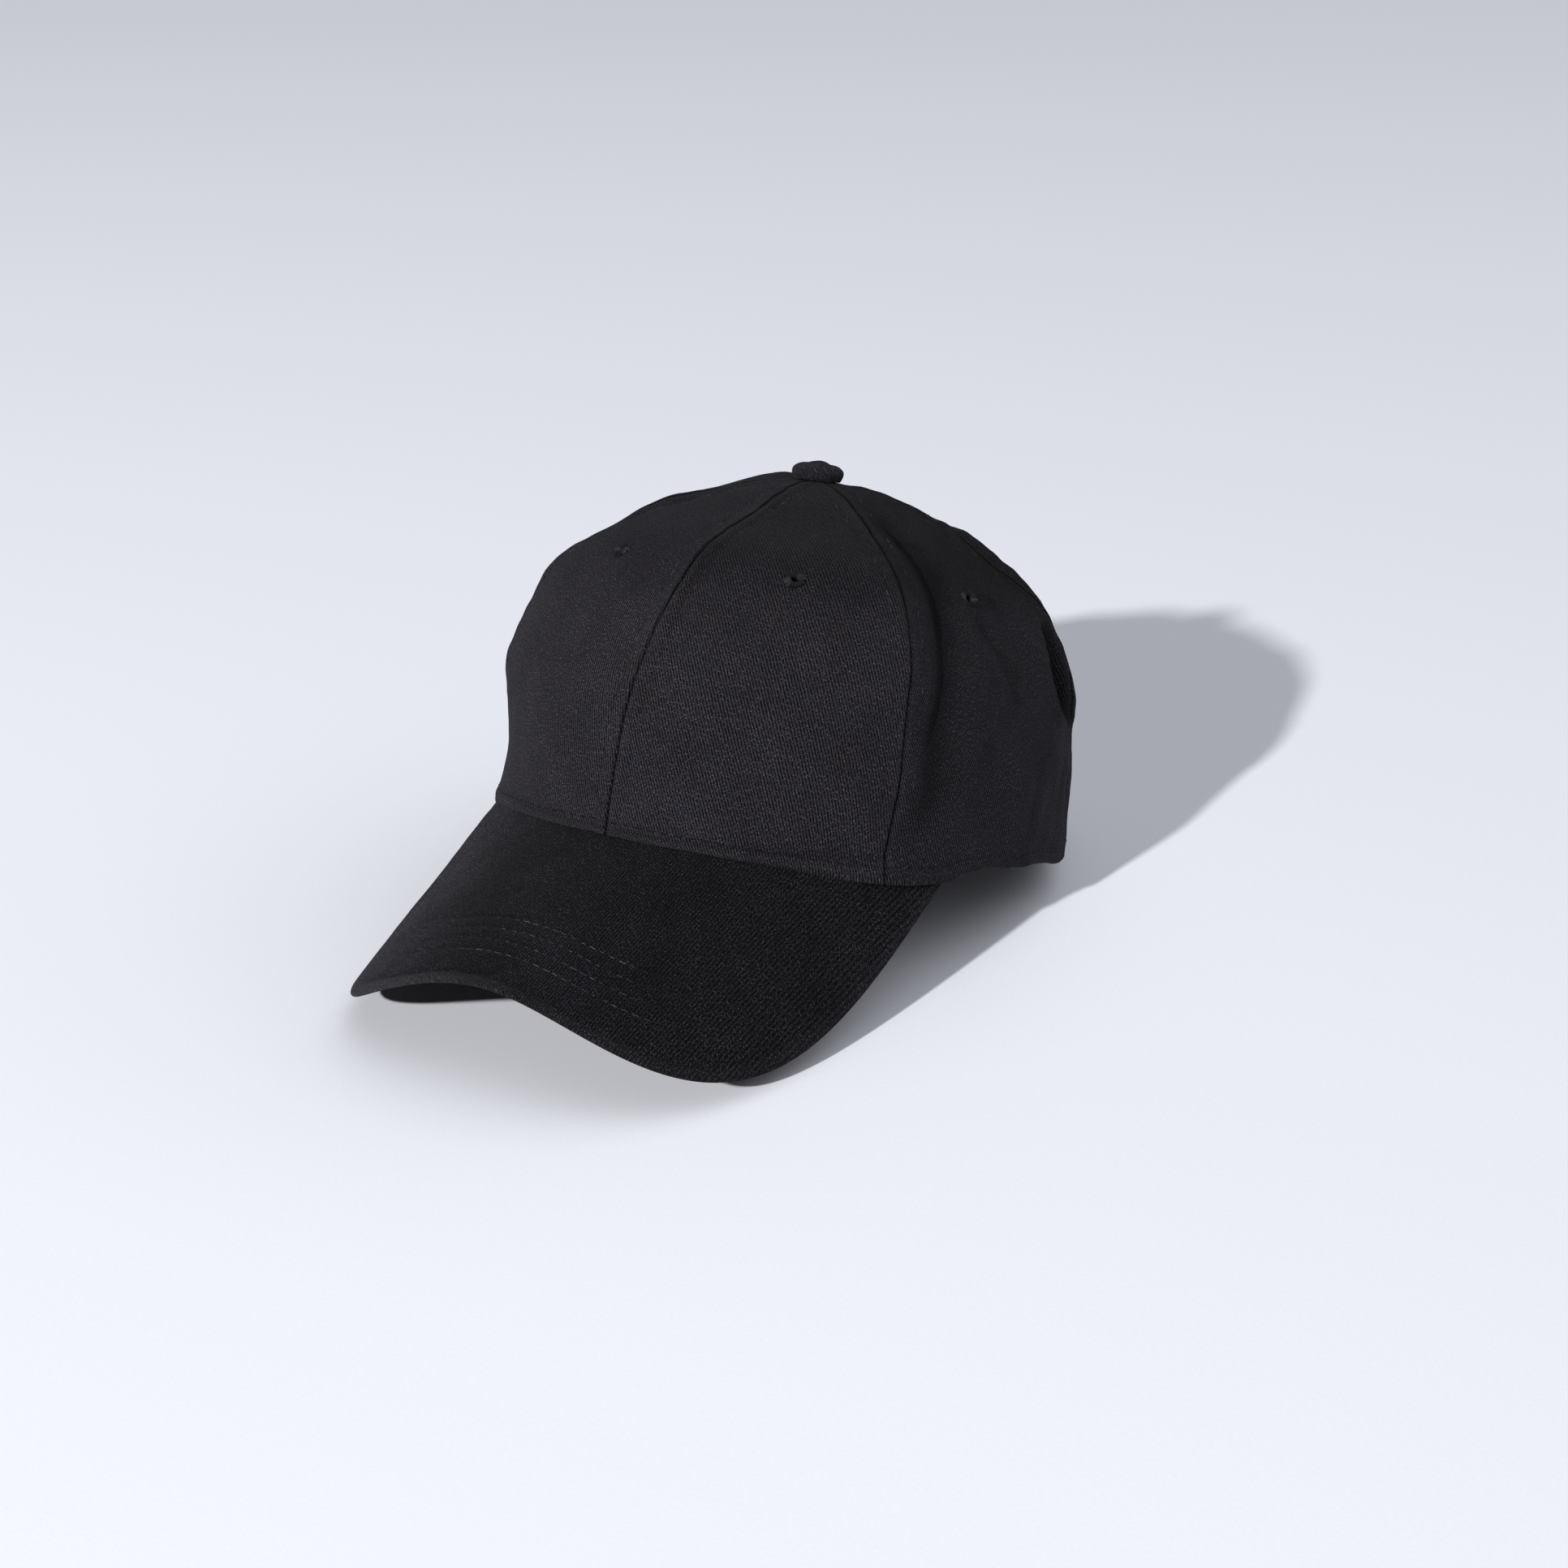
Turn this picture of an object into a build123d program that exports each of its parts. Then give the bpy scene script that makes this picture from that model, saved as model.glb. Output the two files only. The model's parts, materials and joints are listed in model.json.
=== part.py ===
from build123d import *
import os
from math import acos, asin, atan2, ceil, cos, degrees, radians, sin, sqrt, tan

os.makedirs("parts", exist_ok=True)

# A six-panel cap with a curved visor.  Millimetres.
# It is drawn as worn: the rim lies in the plane z = 0, the visor points to -Y, the wearer's left
# is +X, and the origin is the centre of the round back half of the rim.  The last lines tip the
# finished cap back until it rests on the corners of its visor and on its back rim.
# Angles go round the button: 0 is the front seam, 180 the back seam, plus is the wearer's left.

# Crown
head_radius = 87.0  # outside of the cloth, round the back of the rim
front_reach = 111.0  # from the origin forward to the front seam
crown_height = 105.0
button_forward = 12.5  # the button sits this far in front of the origin
seam_angles = (0.0, 53.0, 120.0, 180.0)  # front, front-side, back-side and back seams
shoulder_power = (1.87, 2.03, 2.45, 2.2)  # one value per seam, 2 is an ellipse
fullness_power = (2.65, 3.6, 2.9, 2.2)  # one value per seam, higher stands up straighter
gore_flatness = 0.45  # how far a panel pulls flat between its seams near the top
gore_start = 0.25  # share of the height where the flattening starts
gore_run = 0.5  # share of the height over which it grows
crown_peak = 2.8  # the middle of the top is drawn up towards the button by this much
peak_radius = 40.0  # from the button's axis out to where that starts
crown_hole = 2.6  # radius left open round the button's shank
section_spacing = 9.0  # degrees, at most, between the sections that a sheet is lofted through
wall_points = 12  # points up the side of a section
slope_step = 0.05  # degrees, for reading the wall's slope

# Cloth and lining
cloth = 1.0
buckram = 0.8
buckram_low = 6.0  # lower edge above the rim, clear of the sweatband's foot
buckram_high = 76.0  # upper edge, below the front eyelets
tape_thickness = 0.5
tape_width = 10.0
tape_low = 6.0
tape_sweep = 26.0  # degrees of wall that a tape is cut from, each side of its seam
tape_top_radius = 12.0  # the tapes end this far from the button's axis
layer_gap = 0.2  # between layers that are sewn together
sewn_gap = 0.2  # between the crown's lower edge and the visor

# Sweatband
band_depth = 4.4  # from the outside of the cloth to the back of the sweatband
band_thickness = 1.5
band_height = 32.0
band_foot = 1.8  # height of the turned foot that is sewn to the rim
band_end = 2.0  # the sweatband stops this far short of the opening

# Rear opening and its binding
opening_half_width = 55.0
opening_height = 58.0
binding_width = 8.0
binding_thickness = 0.4
binding_clear = 2.0  # above the strap

# Eyelets
eyelet_hole = 1.6
eyelet_barrel = 2.6  # outside radius of the stitched barrel
eyelet_rim = 4.4
eyelet_proud = 0.7
eyelet_fit = 0.05
eyelet_seat = 0.25  # the ring clears the curved cloth by this much
eyelet_angles = (27.0, 81.0, 150.0)
eyelet_heights = (81.0, 80.0, 82.0)

# Button
button_radius = 8.0
button_height = 4.6
button_cloth = 0.7
shell_metal = 0.5
button_round = 2.6
shank_radius = 1.5
rivet_radius = 3.0
rivet_head = 0.5
washer_radius = 9.0
washer_metal = 0.6
washer_gap = 1.2  # between the cloth at the crown's top and the washer
button_gap = 0.5  # between the top of the crown and the button

# Visor
visor_slope = 37.5  # degrees that the middle of the visor falls away
visor_arch = 95.0  # radius it is bent to
visor_rise = 1.0  # height of its top surface at the front seam
visor_end_inset = 8.0  # each end of the visor stands this far in from the widest part of the rim
visor_length = 116.0  # from its ends to its front edge, in plan
visor_power = 3.3  # 2 is an ellipse, higher is squarer
visor_cloth = 0.7
visor_board = 1.8
visor_turning = 1.2  # the covers wrap this far round the board's edge
board_fit = 0.05
seam_allowance = 3.0  # the visor runs this far in under the crown
visor_points = 12  # points along each half of the outer edge

# Closure: a strap through a metal buckle
strap_width = 18.0
strap_cloth = 1.0
strap_lift = 7.5  # lower edge above the rim
strap_depth = 2.4  # from the outside of the crown to the outside of the strap
strap_lean = 1.1  # the strap leans in by this much over strap_rise
strap_rise = 24.0
strap_end = 62.0  # degrees from the back to the sewn end
strap_tail = 62.0  # degrees from the back to the tucked tail
tab_thickness = 0.75
tab_depth = 1.25
tab_end = 53.0  # degrees from the back to the tab's sewn end
buckle_angle = 21.0  # degrees from the back to the buckle
buckle_length = 26.0
buckle_metal = 0.8
buckle_play = 0.6  # between the strap's edges and the buckle's walls
strap_clearance = 0.35  # between the strap's faces and the metal
wall_rise = 3.2  # height of the buckle's side walls
wall_corner = 1.0  # radius of the side walls' corners
pin_radius = 0.7
pin_fit = 0.1
lever_barrel = 1.4
lever_plate = 1.0
lever_reach = 18.0  # from the hinge pin to the free end of the lever
lever_side_gap = 0.4
lever_lip = 2.4
pin_offset = 6.5  # hinge pin, along the strap from the buckle's middle
bar_offset = 11.0  # bar that the tab loops round
tab_eye = 1.7

# Places worked out from the sizes above
visor_stack = 2 * visor_cloth + visor_board
visor_half_width = head_radius - visor_end_inset
attach_y = -front_reach * sqrt(1 - (visor_half_width / head_radius) ** 2)
attach_angle = degrees(atan2(visor_half_width, -attach_y - button_forward))
opening_edge = degrees(asin(opening_half_width / head_radius))  # from the back, about the origin
strap_radius = head_radius - strap_depth
tab_radius = head_radius - tab_depth
lean_angle = degrees(atan2(strap_lean, strap_rise))
button_base = crown_height + crown_peak + button_gap
buckram_depth = cloth + layer_gap
binding_depth = buckram_depth + binding_thickness
binding_low = strap_lift + strap_width + binding_clear
front_tape_depth = buckram_depth + buckram + layer_gap
far = 2 * front_reach  # past everything
outline_tolerance = 0.05  # for finding what the cap stands on
sides = (("left", 1), ("right", -1))
pieces = []


def keep(piece, label):
    piece.part.label = label
    pieces.append(piece.part)


def ease(value):
    clipped = min(max(value, 0.0), 1.0)
    return clipped * clipped * (3 - 2 * clipped)


def gore(angle):
    # Which panel an angle falls in: 0 front, 1 side, 2 back.
    return sum(abs(angle) >= seam for seam in seam_angles[1:3])


def by_angle(values, angle):
    start = gore(angle)
    span = seam_angles[start + 1] - seam_angles[start]
    share = ease((abs(angle) - seam_angles[start]) / span)
    return values[start] * (1 - share) + values[start + 1] * share


def rim_radius(angle):
    # From the button's axis out to the rim: an ellipse before the origin, a circle behind it.
    across = sin(radians(angle))
    along = cos(radians(angle))
    for reach in (front_reach, head_radius):
        a = (across / head_radius) ** 2 + (along / reach) ** 2
        b = 2 * button_forward * along / reach**2
        c = (button_forward / reach) ** 2 - 1
        radius = (-b + sqrt(b * b - 4 * a * c)) / (2 * a)
        if button_forward + radius * along > 0:
            return radius
    return radius


def visor_level(x, y, depth=0.0):
    # Height of the visor's top, or of a layer in it: a round arch whose middle falls away forward.
    slope = radians(visor_slope)
    drop = visor_arch - sqrt((visor_arch - depth) ** 2 - x**2)
    run = (drop * sin(slope) - y - front_reach) / cos(slope)
    return visor_rise - run * sin(slope) - drop * cos(slope)


def rim_level(angle, depth):
    # Height of the crown's lower edge: on the visor in front, easing to zero at the back.
    turn = min(abs(angle), attach_angle)
    radius = rim_radius(turn) - min(depth, seam_allowance)
    level = visor_level(radius * sin(radians(turn)), -button_forward - radius * cos(radians(turn)))
    return level * (1 - ease((abs(angle) - attach_angle) / (seam_angles[2] - attach_angle)))


def seam_radius(angle, level, power):
    # Radius at a share of the crown's height, on the smooth shape before the gores flatten.
    return rim_radius(angle) * (1 - level**by_angle(fullness_power, angle)) ** (1 / power)


def wall_radius(angle, level):
    start = gore(angle)
    turn = abs(angle)
    first = seam_angles[start]
    last = seam_angles[start + 1]
    full = seam_radius(turn, level, by_angle(shoulder_power, turn))
    near = seam_radius(first, level, shoulder_power[start])
    end = seam_radius(last, level, shoulder_power[start + 1])
    spread = near * sin(radians(turn - first)) + end * sin(radians(last - turn))
    flat = near * end * sin(radians(last - first)) / spread
    share = gore_flatness * ease((level - gore_start) / gore_run)
    return full * (1 - share) + flat * share


def wall_spot(angle, turn, depth, seat=None):
    # Radius and height of a spot in the wall.  turn is 90 at the rim and 0 at the button, and seat
    # is the depth at which the lower edge meets the visor, where that isn't the spot's own.
    spots = []
    for near in (turn + slope_step, turn, turn - slope_step):
        level = abs(cos(radians(near))) ** (2 / by_angle(fullness_power, angle))
        base = rim_level(angle, depth if seat is None else seat) + sewn_gap
        radius = wall_radius(angle, level)
        height = base + level * (crown_height - base) + crown_peak * (1 - ease(radius / peak_radius))
        spots.append((radius, height))
    slope = atan2(spots[2][1] - spots[0][1], spots[2][0] - spots[0][0])
    return (spots[1][0] - depth * sin(slope), spots[1][1] + depth * cos(slope))


def turn_at_height(angle, height):
    # height is measured up from the rim
    return degrees(acos((height / crown_height) ** (by_angle(fullness_power, angle) / 2)))


def turn_at_radius(angle, radius):
    return degrees(asin((radius / rim_radius(angle)) ** (by_angle(shoulder_power, angle) / 2)))


def wall_line(angle, depth, low, high, seat=None):
    start = turn_at_height(angle, low)
    end = turn_at_radius(angle, crown_hole) if high is None else turn_at_height(angle, high)
    turns = [start + (end - start) * step / (wall_points - 1) for step in range(wall_points)]
    return [wall_spot(angle, turn, depth, seat) for turn in turns]


def radial_plane(angle):
    # Stands on the button's axis, x outward and y up.
    across = sin(radians(angle))
    along = cos(radians(angle))
    return Plane(origin=(0, -button_forward, 0), x_dir=(across, -along, 0), z_dir=(-along, -across, 0))


def wall(start, end, outer, inner, low=0.0, high=None):
    # A curved sheet between two depths of the crown's wall, lofted round from start to end.
    with BuildPart() as sheet:
        steps = ceil(abs(end - start) / section_spacing)
        for step in range(steps + 1):
            angle = start + (end - start) * step / steps
            with BuildSketch(radial_plane(angle)):
                with BuildLine():
                    outside = Spline(*wall_line(angle, outer, low, high))
                    inside = Spline(*wall_line(angle, inner, low, high))
                    Line(outside @ 0, inside @ 0)
                    Line(outside @ 1, inside @ 1)
                make_face()
        loft()
    return sheet.part


def wall_plane(angle, height):
    # Lies on the outside of the crown, z outward.
    turn = turn_at_height(angle, height)
    here = radial_plane(angle).from_local_coords(wall_spot(angle, turn, 0))
    above = radial_plane(angle).from_local_coords(wall_spot(angle, turn - 1, 0))
    beside = radial_plane(angle + 1).from_local_coords(wall_spot(angle + 1, turn, 0))
    return Plane(origin=here, x_dir=beside - here, z_dir=(beside - here).cross(above - here))


def back_plane(angle):
    # Stands on the origin's axis, x outward at an angle from the back, y up.
    across = sin(radians(angle))
    along = cos(radians(angle))
    return Plane(origin=(0, 0, 0), x_dir=(across, along, 0), z_dir=(along, -across, 0))


def buckle_plane():
    # Lies across the strap at the buckle: x along the strap, y outward, z up the strap's width.
    middle = strap_lift + strap_width / 2
    side = back_plane(buckle_angle)
    radius = strap_radius - middle * tan(radians(lean_angle))
    lean = (-sin(radians(lean_angle)), cos(radians(lean_angle)), 0)
    origin = side.from_local_coords((radius, middle, 0))
    upward = side.from_local_coords(lean)
    return Plane(origin=origin, x_dir=side.z_dir, z_dir=upward)


# Six panels.  Each is cut with a hole for its eyelet, and the back ones for the opening.
panel_cloth = {}
for side, sign in sides:
    for place in range(3):
        panel_cloth[place, side] = wall(sign * seam_angles[place], sign * seam_angles[place + 1], 0, cloth)
for side, sign in sides:
    for place, panel_name in enumerate(("front", "side", "back")):
        eyelet_plane = wall_plane(sign * eyelet_angles[place], eyelet_heights[place])
        with BuildPart() as panel:
            add(panel_cloth[place, side])
            with BuildSketch(eyelet_plane):
                Circle(eyelet_barrel + eyelet_fit)
            extrude(amount=3 * cloth, both=True, mode=Mode.SUBTRACT)
            if panel_name == "back":
                with BuildSketch(Plane.XZ):
                    Ellipse(opening_half_width, opening_height)
                extrude(amount=-far, mode=Mode.SUBTRACT)
        keep(panel, f"{panel_name}_panel_{side}")

        with BuildPart() as eyelet:
            with BuildSketch(eyelet_plane.offset(-cloth - eyelet_fit)):
                Circle(eyelet_barrel)
                Circle(eyelet_hole, mode=Mode.SUBTRACT)
            extrude(amount=cloth + eyelet_proud)
            with BuildSketch(eyelet_plane.offset(eyelet_seat)):
                Circle(eyelet_rim)
                Circle(eyelet_hole, mode=Mode.SUBTRACT)
            extrude(amount=eyelet_proud - eyelet_seat)
        keep(eyelet, f"{panel_name}_eyelet_{side}")

# Stiff backing behind the two front panels, below their eyelets.
for side, sign in sides:
    backing = wall(0, sign * seam_angles[1], buckram_depth, buckram_depth + buckram, buckram_low, buckram_high)
    with BuildPart() as front_buckram:
        add(backing)
    keep(front_buckram, f"front_buckram_{side}")

# Tapes over the seams on the inside.
tape_rows = [("front_seam_tape", 0, front_tape_depth), ("back_seam_tape", seam_angles[3], buckram_depth)]
for side, sign in sides:
    tape_rows.append((f"front_side_tape_{side}", sign * seam_angles[1], front_tape_depth))
    tape_rows.append((f"back_side_tape_{side}", sign * seam_angles[2], buckram_depth))
for tape_name, seam, depth in tape_rows:
    halves = []
    for way in (1, -1):
        first = seam if abs(seam) < seam_angles[3] else way * seam
        last = first + way * tape_sweep if abs(seam) < seam_angles[3] else first - way * tape_sweep
        halves.append(wall(first, last, depth, depth + tape_thickness, tape_low))
    with BuildPart() as tape:
        add(halves)
        with BuildSketch(radial_plane(seam)):
            with Locations((tape_top_radius, 0)):
                Rectangle(far, far, align=(Align.MIN, Align.CENTER))
        extrude(amount=tape_width / 2, both=True, mode=Mode.INTERSECT)
        if tape_name == "back_seam_tape":
            with BuildSketch(Plane.XZ):
                reach = binding_width + layer_gap
                Ellipse(opening_half_width + reach, opening_height + reach)
            extrude(amount=-far, mode=Mode.SUBTRACT)
    keep(tape, tape_name)

# Binding round the arch of the rear opening, ending above the strap.
binding_halves = []
for side, sign in sides:
    binding_halves.append(wall(sign * seam_angles[2], sign * seam_angles[3], buckram_depth, binding_depth))
with BuildPart() as opening_binding:
    add(binding_halves)
    with BuildSketch(Plane.XZ):
        Ellipse(opening_half_width + binding_width, opening_height + binding_width)
        Ellipse(opening_half_width, opening_height, mode=Mode.SUBTRACT)
        with Locations((0, binding_low)):
            Rectangle(far, far, align=(Align.CENTER, Align.MAX), mode=Mode.SUBTRACT)
    extrude(amount=-far, mode=Mode.INTERSECT)
keep(opening_binding, "opening_binding")

# Sweatband: a wall with its foot turned out under the crown's edge, open at the back.
band_stop = asin((opening_half_width + band_end) / head_radius)
band_angle = degrees(atan2(sin(band_stop), -cos(band_stop) - button_forward / head_radius))
band_steps = ceil(2 * band_angle / section_spacing)
with BuildPart() as sweatband:
    for step in range(band_steps + 1):
        angle = band_angle * (2 * step / band_steps - 1)
        with BuildSketch(radial_plane(angle)):
            with BuildLine():
                back = Spline(*wall_line(angle, band_depth, band_foot, band_height, seam_allowance))
                face = Spline(*wall_line(angle, band_depth + band_thickness, 0, band_height, seam_allowance))
                foot = wall_line(angle, cloth + layer_gap, 0, band_foot, seam_allowance)
                Line(back @ 1, face @ 1)
                Polyline(face @ 0, foot[0], foot[-1], back @ 0)
            make_face()
    loft()
keep(sweatband, "sweatband")

# Button: a cloth-covered shell, riveted through the top of the crown to a washer inside.
button_plane = Plane.XY.offset(button_base).shift_origin((0, -button_forward, button_base))
for button_name, inset, wall_metal in (
    ("button_cover", 0, button_cloth),
    ("button_shell", button_cloth + layer_gap, shell_metal),
):
    with BuildPart() as button:
        with BuildSketch(button_plane):
            Circle(button_radius - inset)
        extrude(amount=button_height - inset)
        fillet(button.faces().sort_by(Axis.Z)[-1].edges(), button_round - inset)
        offset(amount=-wall_metal, openings=button.faces().sort_by(Axis.Z)[0])
    keep(button, button_name)

shank_top = button_height - button_cloth - 2 * layer_gap - shell_metal
shank_low = -(button_gap + cloth + washer_gap + washer_metal + layer_gap + rivet_head)
with BuildPart() as button_rivet:
    with BuildSketch(button_plane.offset(shank_low)):
        Circle(shank_radius)
    extrude(amount=shank_top - shank_low)
    for level in (shank_low, shank_top - rivet_head):
        with BuildSketch(button_plane.offset(level)):
            Circle(rivet_radius)
        extrude(amount=rivet_head)
keep(button_rivet, "button_rivet")

with BuildPart() as button_washer:
    with BuildSketch(button_plane.offset(shank_low + rivet_head + layer_gap)):
        Circle(washer_radius)
        Circle(shank_radius + layer_gap, mode=Mode.SUBTRACT)
    extrude(amount=washer_metal)
keep(button_washer, "button_washer")


def visor_edge(turn, inset=0.0):
    # A point of the visor's outer edge in plan.  turn is 0 at the front and 90 at its left end.
    across = abs(sin(radians(turn))) / (visor_half_width - inset)
    along = abs(cos(radians(turn))) / (visor_length - inset)
    reach = (across**visor_power + along**visor_power) ** (-1 / visor_power)
    return (reach * sin(radians(turn)), attach_y - reach * cos(radians(turn)))


def visor_layer(top, bottom, inset):
    # Part of the visor between two depths below its top surface, inset from its outer edge.
    arch_plane = Plane(
        origin=(0, -front_reach, visor_rise),
        x_dir=(1, 0, 0),
        z_dir=(0, -cos(radians(visor_slope)), -sin(radians(visor_slope))),
    )
    outline = [visor_edge(90 * step / visor_points, inset) for step in range(-visor_points, visor_points + 1)]
    with BuildPart() as layer:
        with BuildSketch(arch_plane):
            with Locations((0, -visor_arch)):
                Circle(visor_arch - top)
                Circle(visor_arch - bottom, mode=Mode.SUBTRACT)
                Rectangle(far, far, align=(Align.CENTER, Align.MAX), mode=Mode.SUBTRACT)
        extrude(amount=far, both=True)
        with BuildSketch(Plane.XY.offset(-far)):
            with BuildLine():
                front = Spline(*outline, tangents=((0, -1), (0, 1)))
                Line(front @ 0, front @ 1)
            make_face()
            Ellipse(head_radius - seam_allowance, front_reach - seam_allowance, mode=Mode.SUBTRACT)
        extrude(amount=2 * far, mode=Mode.INTERSECT)
    return layer.part


# Visor: a board between two covers that meet at the middle of its edge.
split_depth = visor_stack / 2
for cover_name, skin, lip in (
    ("visor_top_cover", (0, visor_cloth), (visor_cloth, split_depth)),
    ("visor_bottom_cover", (visor_cloth + visor_board, visor_stack), (split_depth, visor_cloth + visor_board)),
):
    cover_body = visor_layer(min(skin[0], lip[0]), max(skin[1], lip[1]), 0)
    cover_pocket = visor_layer(lip[0], lip[1], visor_turning)
    with BuildPart() as visor_cover:
        add(cover_body)
        add(cover_pocket, mode=Mode.SUBTRACT)
    keep(visor_cover, cover_name)

board_body = visor_layer(visor_cloth + board_fit, visor_cloth + visor_board - board_fit, visor_turning + board_fit)
with BuildPart() as visor_board_piece:
    add(board_body)
keep(visor_board_piece, "visor_board")


def strap_sheet(radius, thickness, start, end):
    # A band of cloth round the origin's axis, leaning in towards its top.
    lower = (radius - strap_lift * tan(radians(lean_angle)), strap_lift)
    upper = (radius - (strap_lift + strap_width) * tan(radians(lean_angle)), strap_lift + strap_width)
    with BuildPart() as sheet:
        with BuildSketch(back_plane(end)):
            with BuildLine():
                Polyline(
                    lower,
                    upper,
                    (upper[0] - thickness, upper[1]),
                    (lower[0] - thickness, lower[1]),
                    close=True,
                )
            make_face()
        revolve(axis=Axis.Z, revolution_arc=end - start)
    return sheet.part


# Strap: sewn in on the wearer's right, through the buckle, tail tucked in on the left.
strap_cloth_piece = strap_sheet(strap_radius, strap_cloth, -strap_end, strap_tail)
with BuildPart() as strap:
    add(strap_cloth_piece)
keep(strap, "strap")

# Tab that ties the buckle to the left back panel, looped round the buckle's bar.
lying = buckle_plane()
half_strap = strap_width / 2
bar_y = strap_clearance + tab_eye - bar_offset**2 / (2 * strap_radius)
bar_angle = buckle_angle + degrees(atan2(bar_offset, strap_radius + bar_y))
tab_sheet = strap_sheet(tab_radius, tab_thickness, bar_angle, tab_end)
with BuildPart() as buckle_tab:
    add(tab_sheet)
    with BuildSketch(lying.offset(-half_strap)):
        with Locations((bar_offset, bar_y)):
            Circle(tab_eye)
    extrude(amount=strap_width)
    with BuildSketch(lying.offset(-strap_width)):
        with Locations((bar_offset, bar_y)):
            Circle(pin_radius + pin_fit)
    extrude(amount=2 * strap_width, mode=Mode.SUBTRACT)
keep(buckle_tab, "buckle_tab")

# Buckle: a channel that the strap runs through, with a lever that clamps down on it.
base_top = -(strap_cloth + (buckle_length / 2) ** 2 / (2 * strap_radius) + strap_clearance)
base_low = base_top - buckle_metal
wall_inside = half_strap + buckle_play
wall_outside = wall_inside + buckle_metal
pin_y = strap_clearance + lever_barrel
with BuildPart() as buckle_frame:
    with BuildSketch(lying.offset(-wall_outside)):
        with Locations((0, base_low)):
            Rectangle(buckle_length, buckle_metal, align=(Align.CENTER, Align.MIN))
    extrude(amount=2 * wall_outside)
    for level in (-wall_outside, wall_inside):
        with BuildSketch(lying.offset(level)):
            with Locations((0, base_low)):
                Rectangle(buckle_length, wall_rise - base_low, align=(Align.CENTER, Align.MIN))
            with Locations((pin_offset, pin_y), (bar_offset, bar_y)):
                Circle(pin_radius, mode=Mode.SUBTRACT)
        extrude(amount=buckle_metal)
    fillet(buckle_frame.edges().filter_by(Axis(lying.origin, lying.z_dir)).group_by(SortBy.LENGTH)[0], wall_corner)
keep(buckle_frame, "buckle_frame")

lever_half = wall_inside - lever_side_gap
with BuildPart() as buckle_lever:
    with BuildSketch(lying.offset(-lever_half)):
        with Locations((pin_offset, pin_y)):
            Circle(lever_barrel)
        with Locations((pin_offset, strap_clearance)):
            Rectangle(lever_reach, lever_plate, align=(Align.MAX, Align.MIN))
        with Locations((pin_offset - lever_reach, strap_clearance)):
            Rectangle(lever_plate, lever_lip, align=(Align.MIN, Align.MIN))
        with Locations((pin_offset, pin_y)):
            Circle(pin_radius + pin_fit, mode=Mode.SUBTRACT)
    extrude(amount=2 * lever_half)
keep(buckle_lever, "buckle_lever")

for pin_name, along, out in (("buckle_pin", pin_offset, pin_y), ("buckle_bar", bar_offset, bar_y)):
    with BuildPart() as buckle_rod:
        with BuildSketch(lying.offset(-wall_outside)):
            with Locations((along, out)):
                Circle(pin_radius)
        extrude(amount=2 * wall_outside)
    keep(buckle_rod, pin_name)

# At rest the cap leans back on the corners of its visor and the ends of its back rim.
back_y = head_radius * cos(radians(opening_edge))
pitches = []
for turn in range(90):
    x, y = visor_edge(turn)
    pitches.append(atan2(sewn_gap - visor_level(x, y, visor_stack), back_y - y))
pitch = degrees(max(pitches))
tipped = Location((0, 0, 0), (-pitch, 0, 0))
spots = [spot for piece in pieces for spot in piece.moved(tipped).tessellate(outline_tolerance)[0]]
middle_y = (min(spot.Y for spot in spots) + max(spot.Y for spot in spots)) / 2
standing = Location((0, -middle_y, -min(spot.Z for spot in spots)), (-pitch, 0, 0))
for piece in pieces:
    piece.locate(standing)
    export_step(piece, f"parts/{piece.label}.step")
print("pieces", len(pieces), "pitch", round(pitch, 2), "stands at", standing.position)
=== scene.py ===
import json
import random
from math import asin, atan2, cos, degrees, pi, radians, sin, sqrt, tau

import bmesh
import bpy
import numpy as np
from mathutils import Matrix, Vector


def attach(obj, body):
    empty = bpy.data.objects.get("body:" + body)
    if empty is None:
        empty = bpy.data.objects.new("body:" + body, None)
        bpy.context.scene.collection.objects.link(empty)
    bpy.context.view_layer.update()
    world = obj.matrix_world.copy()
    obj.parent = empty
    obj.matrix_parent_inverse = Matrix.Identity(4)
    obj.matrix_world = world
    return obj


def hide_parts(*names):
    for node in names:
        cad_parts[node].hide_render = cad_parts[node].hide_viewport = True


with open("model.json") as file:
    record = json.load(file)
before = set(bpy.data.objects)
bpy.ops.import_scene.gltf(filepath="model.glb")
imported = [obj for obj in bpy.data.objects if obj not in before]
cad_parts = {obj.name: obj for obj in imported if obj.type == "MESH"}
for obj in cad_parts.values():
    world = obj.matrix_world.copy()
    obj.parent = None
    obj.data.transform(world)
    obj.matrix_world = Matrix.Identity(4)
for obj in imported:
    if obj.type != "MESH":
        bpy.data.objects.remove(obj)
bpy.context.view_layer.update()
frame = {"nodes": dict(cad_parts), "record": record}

print("cap: frame loaded")

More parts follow.
